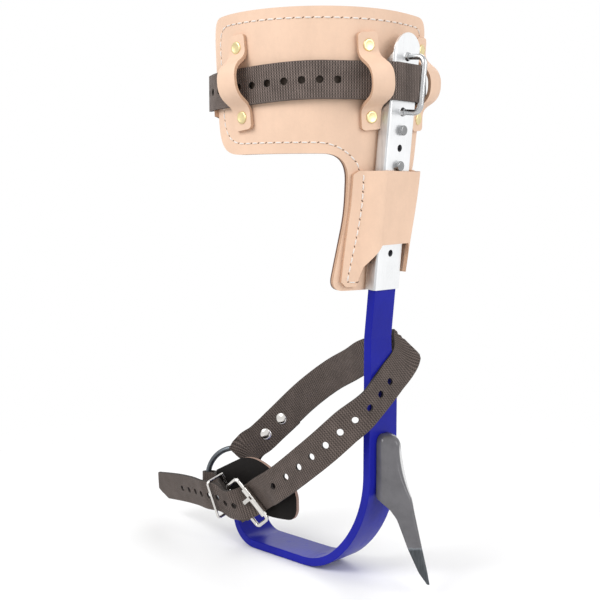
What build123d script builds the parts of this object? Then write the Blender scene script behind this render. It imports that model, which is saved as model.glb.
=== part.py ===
from build123d import *
import os
from math import asin, cos, degrees, floor, radians, sin, sqrt, tan

os.makedirs("parts", exist_ok=True)

# Frame: +X medial (shank and gaff side), +Y rearward, +Z up, origin on the tread's top face.

# Leg iron: one flat bar, bent
bar_thickness = 6.35
tread_width = 31.75
shank_width = 23.8
stirrup_width = 130.0
lateral_height = 38.0
lateral_bend_radius = 17.0
instep_radius = 46.0
shank_radius = 84.0
instep_angle = 40.0
bend_height = 175.5
shank_lean = 5.66
flare_low = 129.0
flare_high = 174.0
bar_edge_radius = 0.8
eye_diameter = 12.0
eye_height = 21.0
eye_offset = -6.0

# Sleeve on the upper shank, and its screws and holes
sleeve_gap = 34.8
sleeve_length = 177.0
sleeve_wall = 1.6
slide_clearance = 0.12
edge_clearance = 0.5
hole_pitch = 12.2
hole_diameter = 5.0
lowest_hole = 26.0
screw_head_diameter = 7.0
screw_head_height = 3.0
screw_clearance = 0.05
wire_diameter = 4.0
loop_middle = 142.4
loop_span = 37.2
loop_standoff = 14.5

# Gaff
gaff_width = 17.6
gaff_screw_diameter = 6.0
gaff_screw_heights = (80.0, 97.0)
scoop_radius = 72.0
scoop_depth = 3.0
gaff_screw_reach = 8.6
gaff_screw_head = 2.2
gaff_screw_spare = 0.4

# Calf pad and what is sewn or riveted to it
pad_radius = 74.0
pad_rear_radius = 105.0
pad_gap = 0.15
leather = 3.2
lining = 2.4
pouch_leather = 2.6
pad_top = 400.5
pad_bottom = 303.5
pad_front_angle = 118.0
pad_rear_reach = 36.0
tail_bottom = 211.0
tail_front_reach = 36.0
tail_rear_reach = 24.0
strap_rise = 0.664
tab_width = 16.0
tab_height = 65.0
tab_leather = 2.6
tab_bulges = (14.8, 19.0, 14.8)
tab_round = 5.0
tab_bend = 2.0
tab_foot = 17.0
tab_crown = 14.2
tab_angles = (-90.0, -18.5, 15.0)
rivet_span = 47.5
rivet_diameter = 9.5
rivet_shank = 3.4
rivet_head = 1.4
notch_radius = 14.0
lobe_radius = 22.0
corner_radius = 8.0
pouch_room = 1.0
pouch_window = 31.0
pouch_front_reach = 30.0
pouch_rear_reach = 23.0

# Webbing and hardware
webbing = 1.9
webbing_width = 25.4
strap_clearance = 0.4
running_gap = 0.15
ring_radius = 24.75
ring_wire = 4.5
buckle_wire = 3.0
buckle_length = 16.0
roller_diameter = 5.8
keeper_wire = 2.2
tongue_wire = 3.0
calf_buckle_angle = 150.0
calf_gap = 20.0
keeper_angle = 32.0
keeper_play = 0.9
ankle_bar = 38.8
roller_low = -10.0
roller_high = 15.5
ankle_tongue_place = -1.5
fold_angle = 45.0
fold_lead = 9.0
strap_rivet = 8.0
chape_angle = 160.0
chape_width = 22.0
chape_sag = 2.6
shield_leather = 3.0
shield_length = 96.0
shield_width = 41.0
shield_tilt = -8.0

half_stirrup = stirrup_width / 2
shank_outer = half_stirrup + bar_thickness
bar_front = -tread_width / 2
shank_middle = bar_front + shank_width / 2
lean = radians(shank_lean)
lean_up = Vector(sin(lean), 0, cos(lean))
lean_out = Vector(cos(lean), 0, -sin(lean))
bend_point = Vector(half_stirrup + bar_thickness / 2, shank_middle, bend_height)
sleeve_base = bend_point + lean_up * sleeve_gap
sleeve_plane = Plane(origin=sleeve_base, x_dir=lean_out, z_dir=lean_up)
sleeve_depth = bar_thickness + 2 * (slide_clearance + sleeve_wall)
sleeve_width = shank_width + 2 * (edge_clearance + sleeve_wall)
strap_level = sleeve_base.Z + loop_middle * cos(lean) + strap_rise
hole_count = 1 + floor((loop_middle - (loop_span + hole_pitch) / 2 - lowest_hole) / hole_pitch)
top_screw = lowest_hole + (hole_count - 1) * hole_pitch
screw_heights = (top_screw, top_screw - 2 * hole_pitch)
shank_top = top_screw + hole_pitch / 2
pouch_top = screw_heights[-1] - screw_head_diameter / 2 - pouch_room


def finish(builder, name):
    """Label a finished piece and write its file."""
    builder.part.label = name
    export_step(builder.part, f"parts/{name}.step")


def side_plane(plane):
    """The plane through the same origin that holds the x direction and the outward direction."""
    return Plane(origin=plane.origin, x_dir=plane.x_dir, z_dir=-plane.y_dir)


# Leg iron
turn = radians(instep_angle)
instep_start = half_stirrup - instep_radius * sin(turn) - shank_radius * (1 - sin(turn))
instep_centre = (instep_start, instep_radius)
shank_centre_z = instep_radius + (shank_radius - instep_radius) * cos(turn)
shank_centre = (half_stirrup - shank_radius, shank_centre_z)
lateral_centre = (-half_stirrup + lateral_bend_radius, lateral_bend_radius)
bend_shift = bar_thickness / 2 * tan(lean / 2)
shank_end = bend_point + lean_up * (sleeve_gap + shank_top)
inner_end = shank_end - lean_out * (bar_thickness / 2)
outer_end = shank_end + lean_out * (bar_thickness / 2)
shank_rear = bar_front + shank_width
with BuildPart() as leg_iron:
    with BuildSketch(Plane.XZ):
        with BuildLine():
            Line((-half_stirrup, lateral_height), (-half_stirrup, lateral_bend_radius))
            CenterArc(lateral_centre, lateral_bend_radius, 180, 90)
            Line((lateral_centre[0], 0), (instep_start, 0))
            CenterArc(instep_centre, instep_radius, 270, instep_angle)
            CenterArc(shank_centre, shank_radius, 270 + instep_angle, 90 - instep_angle)
            Line((half_stirrup, shank_centre_z), (half_stirrup, bend_height + bend_shift))
            Line((half_stirrup, bend_height + bend_shift), (inner_end.X, inner_end.Z))
            Line((inner_end.X, inner_end.Z), (outer_end.X, outer_end.Z))
            Line((outer_end.X, outer_end.Z), (shank_outer, bend_height - bend_shift))
            Line((shank_outer, bend_height - bend_shift), (shank_outer, shank_centre_z))
            CenterArc(shank_centre, shank_radius + bar_thickness, 0, instep_angle - 90)
            CenterArc(instep_centre, instep_radius + bar_thickness, 270 + instep_angle, -instep_angle)
            Line((instep_start, -bar_thickness), (lateral_centre[0], -bar_thickness))
            CenterArc(lateral_centre, lateral_bend_radius + bar_thickness, 270, -90)
            Line((-shank_outer, lateral_bend_radius), (-shank_outer, lateral_height))
            Line((-shank_outer, lateral_height), (-half_stirrup, lateral_height))
        make_face()
    extrude(amount=tread_width / 2, both=True)
    lateral_corners = leg_iron.edges().filter_by(Axis.X).group_by(Axis.X)[0]
    fillet(lateral_corners, tread_width / 2 - bar_edge_radius)
    flare_middle = (flare_low + flare_high) / 2
    flare_out = tread_width / 2 + bar_edge_radius
    flare_top = shank_end.Z + bar_thickness
    with BuildSketch(Plane.YZ):
        with BuildLine():
            Line((shank_rear, flare_top), (shank_rear, flare_high))
            Bezier(
                (shank_rear, flare_high),
                (shank_rear, flare_middle),
                (flare_out, flare_middle),
                (flare_out, flare_low),
            )
            Line((flare_out, flare_low), (flare_out, flare_top))
            Line((flare_out, flare_top), (shank_rear, flare_top))
        make_face()
    extrude(amount=2 * stirrup_width, mode=Mode.SUBTRACT)
    side_faces = leg_iron.faces().sort_by(Axis.Y)
    fillet(side_faces[0].edges() + side_faces[-1].edges(), bar_edge_radius)
    eye_plane = Plane.YZ.offset(-half_stirrup - 2 * bar_thickness)
    with BuildSketch(eye_plane):
        with Locations((eye_offset, eye_height)):
            Circle(eye_diameter / 2)
    extrude(amount=3 * bar_thickness, mode=Mode.SUBTRACT)
    with BuildSketch(Plane.YZ.offset(half_stirrup)):
        with Locations([(0, z) for z in gaff_screw_heights]):
            Circle(gaff_screw_diameter / 2 + screw_clearance)
    extrude(amount=bar_thickness, mode=Mode.SUBTRACT)
    with BuildSketch(Plane(origin=sleeve_base, x_dir=(0, 1, 0), z_dir=lean_out)):
        with Locations([(0, h) for h in screw_heights]):
            Circle(hole_diameter / 2 - screw_clearance)
    extrude(amount=bar_thickness, both=True, mode=Mode.SUBTRACT)
finish(leg_iron, "leg_iron")

# Gaff: level sections from the top of the block down to the tip, measured out from the shank's face
gaff_half = gaff_width / 2
gaff_sections = (
    (105.0, -4.0, 4.6, 10.2, 0.84 * gaff_half, 2.2),
    (99.0, -4.0, 5.6, 14.1, gaff_half, 2.0),
    (60.0, -4.0, 7.6, 25.6, gaff_half, 1.5),
    (58.0, -4.0, 8.4, 26.0, gaff_half, 1.5),
    (52.0, 12.6, 14.6, 27.4, 0.95 * gaff_half, 1.4),
    (46.0, 18.6, 20.2, 29.1, 0.91 * gaff_half, 1.3),
    (26.0, 27.1, 28.1, 35.0, 0.68 * gaff_half, 1.0),
    (10.0, 35.1, 35.7, 39.9, 0.41 * gaff_half, 0.8),
    (2.2, 40.4, 40.7, 41.9, 0.10 * gaff_half, 0.4),
)
scoop_top = Vector(shank_outer + 14.0, 0, 100.5)
scoop_foot = Vector(shank_outer + 25.6, 0, 60.5)
scoop_chord = (scoop_foot - scoop_top).normalized()
scoop_out = Vector(-scoop_chord.Z, 0, scoop_chord.X)
scoop_centre = (scoop_top + scoop_foot) * 0.5 + scoop_out * (scoop_radius - scoop_depth)
with BuildPart() as gaff:
    for z, back, side, ridge, half, ridge_half in gaff_sections:
        with BuildSketch(Plane.XY.offset(z)):
            with BuildLine():
                Polyline(
                    (shank_outer + back, -half),
                    (shank_outer + side, -half),
                    (shank_outer + ridge, -ridge_half),
                    (shank_outer + ridge, ridge_half),
                    (shank_outer + side, half),
                    (shank_outer + back, half),
                    close=True,
                )
            make_face()
    loft(ruled=True)
    with BuildSketch(Plane.XZ):
        with Locations((scoop_centre.X, scoop_centre.Z)):
            Circle(scoop_radius)
    extrude(amount=gaff_width, both=True, mode=Mode.SUBTRACT)
    add(leg_iron.part, mode=Mode.SUBTRACT)
    with BuildSketch(Plane.YZ.offset(half_stirrup)):
        with Locations([(0, z) for z in gaff_screw_heights]):
            Circle(gaff_screw_diameter / 2 + screw_clearance)
    extrude(amount=bar_thickness + gaff_screw_reach + gaff_screw_spare, mode=Mode.SUBTRACT)
finish(gaff, "gaff")

with BuildPart() as gaff_screws:
    with BuildSketch(Plane.YZ.offset(half_stirrup)):
        with Locations([(0, z) for z in gaff_screw_heights]):
            Circle(gaff_screw_diameter / 2)
    extrude(amount=bar_thickness + gaff_screw_reach)
    with BuildSketch(Plane.YZ.offset(half_stirrup)):
        with Locations([(0, z) for z in gaff_screw_heights]):
            Circle(0.85 * gaff_screw_diameter)
    extrude(amount=-gaff_screw_head)
finish(gaff_screws, "gaff_screws")

# Sleeve
face_plane = Plane(origin=sleeve_base, x_dir=(0, 1, 0), z_dir=lean_out)
edge_plane = side_plane(sleeve_plane)
sleeve_face = sleeve_depth / 2
with BuildPart() as sleeve:
    with BuildSketch(sleeve_plane):
        RectangleRounded(sleeve_depth, sleeve_width, sleeve_wall)
    extrude(amount=sleeve_length)
    with BuildSketch(sleeve_plane):
        Rectangle(sleeve_depth - 2 * sleeve_wall, sleeve_width - 2 * sleeve_wall)
    extrude(amount=sleeve_length, mode=Mode.SUBTRACT)
    with BuildSketch(face_plane):
        Rectangle(sleeve_width, sleeve_length - sleeve_width / 2, align=(Align.CENTER, Align.MIN))
        with Locations((0, sleeve_length - sleeve_width / 2)):
            Circle(sleeve_width / 2)
    extrude(amount=sleeve_depth, both=True, mode=Mode.INTERSECT)
    with BuildSketch(edge_plane):
        with BuildLine():
            Polyline(
                (-sleeve_depth, sleeve_length - sleeve_width),
                (sleeve_face - sleeve_wall, sleeve_length - sleeve_width / 2),
                (sleeve_face - sleeve_wall, sleeve_length + 1),
                (-sleeve_depth, sleeve_length + 1),
                close=True,
            )
        make_face()
    extrude(amount=sleeve_width, both=True, mode=Mode.SUBTRACT)
    with BuildSketch(face_plane):
        with Locations([(0, lowest_hole + i * hole_pitch) for i in range(hole_count)]):
            Circle(hole_diameter / 2)
    extrude(amount=sleeve_depth, mode=Mode.SUBTRACT)
finish(sleeve, "sleeve")

with BuildPart() as height_screws:
    with BuildSketch(face_plane.offset(sleeve_face - sleeve_wall)):
        with Locations([(0, h) for h in screw_heights]):
            Circle(hole_diameter / 2 - screw_clearance)
    extrude(amount=sleeve_wall)
    with BuildSketch(face_plane.offset(sleeve_face)):
        with Locations([(0, h) for h in screw_heights]):
            Circle(screw_head_diameter / 2)
    extrude(amount=screw_head_height)
    head_rims = height_screws.faces().group_by(Axis(sleeve_base, lean_out))[-1].edges()
    fillet(head_rims, 0.25 * screw_head_height)
finish(height_screws, "height_screws")

with BuildPart() as strap_loop:
    with BuildLine(edge_plane) as loop_path:
        FilletPolyline(
            (sleeve_face, loop_middle + loop_span / 2),
            (sleeve_face + loop_standoff, loop_middle + loop_span / 2),
            (sleeve_face + loop_standoff, loop_middle - loop_span / 2),
            (sleeve_face, loop_middle - loop_span / 2),
            radius=1.3 * wire_diameter,
        )
    with BuildSketch(Plane(origin=loop_path.wire() @ 0, z_dir=loop_path.wire() % 0)):
        Circle(wire_diameter / 2)
    sweep()
    with BuildSketch(face_plane.offset(sleeve_face)):
        with Locations([(0, loop_middle - loop_span / 2), (0, loop_middle + loop_span / 2)]):
            Circle(0.8 * wire_diameter)
    extrude(amount=0.4 * wire_diameter, taper=25)
finish(strap_loop, "strap_loop")

# Calf pad: level sections that follow the leaning sleeve in the middle and stand upright at the front
pad_middle = shank_middle


def sleeve_back(z):
    """X of the sleeve's leg-side face at a height."""
    along = (z - sleeve_base.Z - sleeve_face * sin(lean)) / cos(lean)
    return sleeve_base.X + along * sin(lean) - sleeve_face * cos(lean)


def sleeve_front(z):
    """X of the sleeve's outer face at a height."""
    return sleeve_back(z) + sleeve_depth / cos(lean)


pad_axis = sleeve_back(strap_level) - pad_gap - pad_radius
rear_angle = degrees(asin(pad_rear_reach / pad_rear_radius))


def pad_reach(z):
    """Distance from the pad's axis to its outer face behind the sleeve."""
    return sleeve_back(z) - pad_gap - pad_axis


def pad_face(y, z):
    """X of the pad's outer face at a place across it."""
    across = pad_rear_radius if y > pad_middle else pad_radius
    return pad_axis + pad_reach(z) * sqrt(1 - ((y - pad_middle) / across) ** 2)


def pad_plane(angle):
    """Plane on the pad's outer face at the strap's level: y up the face, z outward."""
    across = pad_radius if angle < 0 else pad_rear_radius
    turn_x = cos(radians(angle))
    turn_y = sin(radians(angle))
    reach = pad_reach(strap_level)
    point = Vector(pad_axis + reach * turn_x, pad_middle + across * turn_y, strap_level)
    along = Vector(-reach * turn_y, across * turn_x, 0).normalized()
    rise = Vector(tan(lean) * turn_x, 0, 1)
    return Plane(origin=point, x_dir=along, z_dir=along.cross(rise))


def corner_waste(x, y, right, up, radius):
    """Sketch the waste outside a rounded corner; right and up point into the material."""
    with Locations((x + right * (radius - 1) / 2, y + up * (radius - 1) / 2)):
        Rectangle(radius + 1, radius + 1)
    with Locations((x + right * radius, y + up * radius)):
        Circle(radius, mode=Mode.SUBTRACT)


def pad_layer(outside, inside):
    """One layer of the pad between two depths below its outer face."""
    axis = (pad_axis, pad_middle)
    with BuildPart() as layer:
        for z in (tail_bottom, pad_top):
            reach = pad_reach(z)
            with BuildSketch(Plane.XY.offset(z)):
                with BuildLine():
                    ends = []
                    for depth in (outside, inside):
                        deep = reach - depth
                        front = CenterArc(axis, pad_radius - depth, -pad_front_angle, pad_front_angle - 90)
                        EllipticalCenterArc(axis, deep, pad_radius - depth, -90, arc_size=90)
                        wide = pad_rear_radius - depth
                        rear = EllipticalCenterArc(axis, deep, wide, 0, arc_size=rear_angle)
                        ends.append((front @ 0, rear @ 1))
                    Line(ends[0][0], ends[1][0])
                    Line(ends[0][1], ends[1][1])
                make_face()
        loft(ruled=True)
        with BuildSketch(Plane.YZ.offset(pad_axis - pad_radius)):
            with BuildLine():
                FilletPolyline(
                    (pad_middle - 2 * pad_radius, pad_bottom),
                    (pad_middle - tail_front_reach, pad_bottom),
                    (pad_middle - tail_front_reach, tail_bottom),
                    radius=notch_radius,
                )
                Polyline(
                    (pad_middle - tail_front_reach, tail_bottom),
                    (pad_middle - 2 * pad_radius, tail_bottom),
                    (pad_middle - 2 * pad_radius, pad_bottom),
                )
            make_face()
            with BuildLine():
                Polyline(
                    (pad_middle + tail_rear_reach, pad_bottom),
                    (pad_middle + tail_rear_reach, tail_bottom),
                    (pad_middle + 2 * pad_radius, tail_bottom),
                    (pad_middle + 2 * pad_radius, pad_bottom),
                    close=True,
                )
            make_face()
        extrude(amount=3 * pad_radius, mode=Mode.SUBTRACT)
        end_x = pad_axis + pad_radius * cos(radians(pad_front_angle))
        with BuildSketch(Plane.XZ):
            corner_waste(end_x, pad_bottom, 1, 1, lobe_radius)
            corner_waste(end_x, pad_top, 1, -1, corner_radius)
        extrude(amount=3 * pad_radius, mode=Mode.SUBTRACT)
        with BuildSketch(Plane.YZ.offset(pad_axis)):
            corner_waste(pad_middle + pad_rear_reach, pad_top, -1, -1, corner_radius)
            corner_waste(pad_middle + pad_rear_reach, pad_bottom, -1, 1, corner_radius)
            corner_waste(pad_middle - tail_front_reach, tail_bottom, 1, 1, corner_radius)
            corner_waste(pad_middle + tail_rear_reach, tail_bottom, -1, 1, corner_radius)
        extrude(amount=3 * pad_radius, mode=Mode.SUBTRACT)
        for angle in tab_angles:
            with BuildSketch(pad_plane(angle).offset(-2 * leather - lining)):
                with Locations((0, -rivet_span / 2), (0, rivet_span / 2)):
                    Circle(rivet_shank / 2 + screw_clearance)
            extrude(amount=4 * leather, mode=Mode.SUBTRACT)
    return layer


pad_leather = pad_layer(0, leather)
finish(pad_leather, "pad_leather")
pad_lining = pad_layer(leather + pad_gap, leather + pad_gap + lining)
finish(pad_lining, "pad_lining")

# Pouch: a pocket over the sleeve with flanges sewn to the pad
pouch_top_z = sleeve_base.Z + pouch_top * cos(lean)
pouch_front = pad_middle - pouch_front_reach
pouch_rear = pad_middle + pouch_rear_reach
pocket_front = pad_middle - sleeve_width / 2 - strap_clearance
pocket_rear = pad_middle + sleeve_width / 2 + strap_clearance
with BuildPart() as pouch:
    for z in (tail_bottom + pouch_leather, pouch_top_z):
        lift = 1.5 * strap_clearance
        crown = sleeve_front(z) + strap_clearance
        with BuildSketch(Plane.XY.offset(z)):
            with BuildLine():
                Polyline(
                    (pad_face(pouch_front, z) + lift, pouch_front),
                    (pad_face(pocket_front, z) + lift, pocket_front),
                    (crown, pocket_front),
                    (crown, pocket_rear),
                    (pad_face(pocket_rear, z) + lift, pocket_rear),
                    (pad_face(pouch_rear, z) + lift, pouch_rear),
                    (pad_face(pouch_rear, z) + lift + pouch_leather, pouch_rear),
                    (pad_face(pocket_rear, z) + lift + pouch_leather, pocket_rear + pouch_leather),
                    (crown + pouch_leather, pocket_rear + pouch_leather),
                    (crown + pouch_leather, pocket_front - pouch_leather),
                    (pad_face(pocket_front, z) + lift + pouch_leather, pocket_front - pouch_leather),
                    (pad_face(pouch_front, z) + lift + pouch_leather, pouch_front),
                    close=True,
                )
            make_face()
    loft(ruled=True)
    window_z = sleeve_base.Z + pouch_window * cos(lean)
    with BuildSketch(Plane.YZ.offset(pad_axis)):
        with BuildLine():
            Polyline(
                (pocket_front - pouch_leather, tail_bottom),
                (pocket_front - pouch_leather, window_z - sleeve_width / 2),
                (pocket_front + sleeve_width / 4, window_z),
                (pocket_rear + pouch_leather, window_z),
                (pocket_rear + pouch_leather, tail_bottom),
                close=True,
            )
        make_face()
    extrude(amount=3 * pad_radius, mode=Mode.SUBTRACT)
finish(pouch, "pouch")


def strap_tab(angle, bulge):
    """Leather keeper strip on the pad, flat at both riveted ends and standing off in the middle."""
    plane = pad_plane(angle)
    with BuildPart() as tab:
        with BuildSketch(Plane(origin=plane.origin, x_dir=plane.y_dir, z_dir=plane.x_dir)):
            with BuildLine():
                path = FilletPolyline(
                    (-tab_height / 2, pad_gap + tab_leather / 2),
                    (-tab_foot, pad_gap + tab_leather / 2),
                    (-tab_crown, bulge),
                    (tab_crown, bulge),
                    (tab_foot, pad_gap + tab_leather / 2),
                    (tab_height / 2, pad_gap + tab_leather / 2),
                    radius=(tab_bend, tab_round, tab_round, tab_bend),
                )
            trace(path, tab_leather)
        extrude(amount=tab_width / 2, both=True)
        with BuildSketch(plane):
            with Locations([(0, -rivet_span / 2), (0, rivet_span / 2)]):
                Circle(rivet_shank / 2 + screw_clearance)
        extrude(amount=2 * bulge, mode=Mode.SUBTRACT)
    return tab


tab_front = strap_tab(tab_angles[0], tab_bulges[0])
finish(tab_front, "tab_front")
tab_middle = strap_tab(tab_angles[1], tab_bulges[1])
finish(tab_middle, "tab_middle")
tab_rear = strap_tab(tab_angles[2], tab_bulges[2])
finish(tab_rear, "tab_rear")

tab_face = pad_gap + tab_leather
pad_inside = leather + 3 * pad_gap + lining
with BuildPart() as brass_rivets:
    for angle in tab_angles:
        rivet_plane = pad_plane(angle)
        with BuildSketch(rivet_plane.offset(-pad_inside - rivet_head)):
            with Locations((0, -rivet_span / 2), (0, rivet_span / 2)):
                Circle(rivet_shank / 2)
        extrude(amount=pad_inside + tab_face + 1.5 * rivet_head)
        with BuildSketch(rivet_plane.offset(tab_face)):
            with Locations((0, -rivet_span / 2), (0, rivet_span / 2)):
                Circle(rivet_diameter / 2)
        extrude(amount=rivet_head, taper=20)
        with BuildSketch(rivet_plane.offset(-pad_inside)):
            with Locations((0, -rivet_span / 2), (0, rivet_span / 2)):
                Circle(0.4 * rivet_diameter)
        extrude(amount=-rivet_head)
finish(brass_rivets, "brass_rivets")


def upright(points):
    """Across direction at each point of a route: square to the route, the strap's face upright."""
    stations = []
    for before, point, after in zip(points[:1] + points[:-1], points, points[1:] + points[-1:]):
        along = (after - before).normalized()
        face = along.cross(Vector(0, 0, 1)).normalized()
        stations.append((point, face.cross(along)))
    return stations


def ribbon_sections(stations):
    """Section plane and width at each station, a point and an across direction, of a flat strap."""
    sections = []
    last = len(stations) - 1
    for i, (point, across) in enumerate(stations):
        along = (stations[min(i + 1, last)][0] - stations[max(i - 1, 0)][0]).normalized()
        across = across.normalized()
        square = along - across * along.dot(across)
        sections.append((Plane(origin=point, x_dir=across, z_dir=square), webbing_width / square.length))
    return sections


def wire_box(plane, length, width, wire):
    """A closed wire rectangle with rounded corners, centred on a plane."""
    with BuildPart() as box:
        with BuildLine(plane) as path:
            FilletPolyline(
                (length / 2, -width / 2),
                (length / 2, width / 2),
                (-length / 2, width / 2),
                (-length / 2, -width / 2),
                radius=wire,
                close=True,
            )
        with BuildSketch(Plane(origin=path.wire() @ 0, z_dir=path.wire() % 0)):
            Circle(wire / 2)
        sweep()
    return box


def buckle_roller(plane, low, high):
    """Tube on the buckle's front bar, between two places along it."""
    with BuildPart() as roller:
        foot = plane.origin + plane.y_dir * low
        with BuildSketch(Plane(origin=foot, x_dir=plane.x_dir, z_dir=plane.y_dir)):
            Circle(roller_diameter / 2)
            Circle(buckle_wire / 2 + running_gap / 2, mode=Mode.SUBTRACT)
        extrude(amount=high - low)
    return roller


def buckle_tongue(plane, place):
    """Tongue: an eye on the heel bar and a pin that rests on the roller."""
    seat = plane.origin + plane.y_dir * place
    side = side_plane(Plane(origin=seat, x_dir=plane.x_dir, z_dir=plane.z_dir))
    bore = buckle_wire / 2 + running_gap / 2
    heel = buckle_length - bore - tongue_wire / 2
    rise = tan(asin((roller_diameter / 2 + 2 * running_gap) / heel))
    tip = -1.5 * tongue_wire
    with BuildPart() as tongue:
        with BuildSketch(side):
            with Locations((buckle_length, 0)):
                Circle(bore + tongue_wire / 2)
            with BuildLine():
                Polyline(
                    (buckle_length, 0),
                    (buckle_length - 0.5, bore + tongue_wire / 2),
                    (-tongue_wire / 2, (heel + tongue_wire / 2) * rise + tongue_wire / 2),
                    (tip, (heel - tip) * rise + tongue_wire / 4),
                    (tip, (heel - tip) * rise),
                    (heel, 0),
                    close=True,
                )
            make_face()
            with Locations((buckle_length, 0)):
                Circle(bore, mode=Mode.SUBTRACT)
        extrude(amount=tongue_wire / 2, both=True)
    return tongue


# Calf strap: drawn tight round the pad and the sleeve, closed by a buckle at the back
strap_low = strap_level - webbing_width / 2
strap_high = strap_level + webbing_width / 2
hug_radius = pad_radius + pad_reach(strap_high) - pad_reach(strap_level) + strap_clearance
strap_radius = hug_radius + webbing / 2
hug_corner = sleeve_wall + strap_clearance
hug_places = (
    (sleeve_front(strap_high) - sleeve_wall, pad_middle - sleeve_width / 2 + sleeve_wall),
    (sleeve_front(strap_high) - sleeve_wall, pad_middle + sleeve_width / 2 - sleeve_wall),
    (pad_face(pad_middle + pad_rear_reach, strap_high), pad_middle + pad_rear_reach),
)
back = radians(calf_buckle_angle)
back_out = Vector(cos(back), sin(back), 0)
back_along = Vector(-sin(back), cos(back), 0)
calf_origin = Vector(pad_axis, pad_middle, strap_level) + back_out * strap_radius
calf_plane = Plane(origin=calf_origin, x_dir=back_along, z_dir=back_out)


def calf_point(along, out):
    """Place beside the calf buckle, along the strap and outward."""
    return calf_plane.from_local_coords(Vector(along, 0, out))


def calf_round(angle, out):
    """Place on the round of the calf strap, an angle past the buckle's roller."""
    radius = strap_radius + out
    return calf_point(radius * sin(radians(angle)), radius * cos(radians(angle)) - strap_radius)


def on_heel(plane):
    """Plane square to a buckle's heel bar, at its middle."""
    heel = plane.origin + plane.x_dir * buckle_length
    return Plane(origin=heel, x_dir=plane.x_dir, z_dir=plane.y_dir)


heel_bore = buckle_wire / 2 + strap_clearance
under_roller = roller_diameter / 2 + strap_clearance + webbing / 2
over_heel = heel_bore + webbing + strap_clearance + webbing / 2
calf_up = calf_plane.y_dir
billet = (
    calf_round(-calf_gap / 2 - 1, 0),
    calf_point(-6, -under_roller + 1),
    calf_point(0, -under_roller),
    calf_point(3.5, -under_roller + 1),
    calf_point(9, 2),
    calf_point(13, over_heel),
    calf_point(19, over_heel),
    calf_round(21, webbing + strap_clearance),
    calf_round(28, webbing + strap_clearance),
    calf_round(35, webbing + strap_clearance),
    calf_round(42, webbing + strap_clearance),
    calf_round(49, webbing + strap_clearance),
)
chape = (calf_round(calf_gap + 1, 0), calf_point(buckle_length + heel_bore + webbing / 2, -0.4))
gap_apex = Vector(pad_axis, pad_middle)
gap_start = gap_apex + Vector(2 * pad_radius, 0).rotate(Axis.Z, calf_buckle_angle - calf_gap / 2)
gap_end = gap_apex + Vector(2 * pad_radius, 0).rotate(Axis.Z, calf_buckle_angle + calf_gap)
with BuildPart() as calf_strap:
    with BuildSketch(Plane.XY.offset(strap_low)):
        with Locations((pad_axis, pad_middle)):
            Circle(hug_radius + webbing)
        with Locations(hug_places):
            Circle(hug_corner + webbing)
        make_hull()
    extrude(amount=webbing_width)
    with BuildSketch(Plane.XY.offset(strap_low)):
        with Locations((pad_axis, pad_middle)):
            Circle(hug_radius)
        with Locations(hug_places):
            Circle(hug_corner)
        make_hull()
    extrude(amount=webbing_width, mode=Mode.SUBTRACT)
    with BuildSketch(Plane.XY.offset(strap_low)):
        with BuildLine():
            Polyline(gap_apex, gap_start, gap_end, close=True)
        make_face()
    extrude(amount=webbing_width, mode=Mode.SUBTRACT)
    for plane, width in ribbon_sections([(point, calf_up) for point in billet]):
        with BuildSketch(plane):
            Rectangle(width, webbing)
    loft(ruled=True)
    for plane, width in ribbon_sections([(point, calf_up) for point in chape]):
        with BuildSketch(plane):
            Rectangle(width, webbing)
    loft(ruled=True)
    with BuildSketch(on_heel(calf_plane)):
        Circle(heel_bore + webbing)
    extrude(amount=webbing_width / 2, both=True)
    with BuildSketch(on_heel(calf_plane)):
        Circle(heel_bore)
    extrude(amount=webbing_width, both=True, mode=Mode.SUBTRACT)
    with BuildSketch(calf_plane.offset(-2 * under_roller)):
        with Locations((0.72 * buckle_length, 0)):
            Rectangle(buckle_length, 1.8 * tongue_wire)
    extrude(amount=under_roller * 4, mode=Mode.SUBTRACT)
finish(calf_strap, "calf_strap")

calf_frame_middle = calf_origin + back_along * (buckle_length / 2)
calf_frame_plane = Plane(origin=calf_frame_middle, x_dir=back_along, z_dir=back_out)
calf_bar = webbing_width + 2 * strap_clearance + 2 * buckle_wire
calf_buckle_frame = wire_box(calf_frame_plane, buckle_length, calf_bar, buckle_wire)
finish(calf_buckle_frame, "calf_buckle_frame")
calf_roller_half = webbing_width / 2
calf_buckle_roller = buckle_roller(calf_plane, -calf_roller_half, calf_roller_half)
finish(calf_buckle_roller, "calf_buckle_roller")
calf_buckle_tongue = buckle_tongue(calf_plane, 0)
finish(calf_buckle_tongue, "calf_buckle_tongue")
keeper_turn = radians(keeper_angle)
keeper_along = back_along * cos(keeper_turn) - back_out * sin(keeper_turn)
keeper_middle = calf_round(keeper_angle, (webbing + strap_clearance) / 2)
keeper_width = webbing_width + 2 * keeper_play + keeper_wire
calf_keeper_plane = Plane(origin=keeper_middle, x_dir=(0, 0, 1), z_dir=keeper_along)
calf_keeper_depth = 2 * webbing + strap_clearance + 2 * keeper_play + keeper_wire
calf_keeper = wire_box(calf_keeper_plane, keeper_width, calf_keeper_depth, keeper_wire)
finish(calf_keeper, "calf_keeper")

# Ring in the eye of the lateral upright
lateral = -half_stirrup
eye_middle = Vector(lateral - bar_thickness / 2, eye_offset, eye_height)
ring_face = Vector(0.379, -0.916, 0.128).normalized()
ring_rise = Vector(-0.406, -0.041, 0.912).normalized()
ring_centre = eye_middle + ring_rise * ring_radius
ring_plane = Plane(origin=ring_centre, x_dir=ring_rise.cross(ring_face), z_dir=ring_face)
with BuildPart() as stirrup_ring:
    with BuildLine(ring_plane):
        CenterArc((0, 0), ring_radius, 0, 360)
    ring_side = ring_centre + ring_plane.x_dir * ring_radius
    with BuildSketch(Plane(origin=ring_side, x_dir=ring_face, z_dir=ring_plane.y_dir)):
        Circle(ring_wire / 2)
    sweep()
finish(stirrup_ring, "stirrup_ring")


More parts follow.
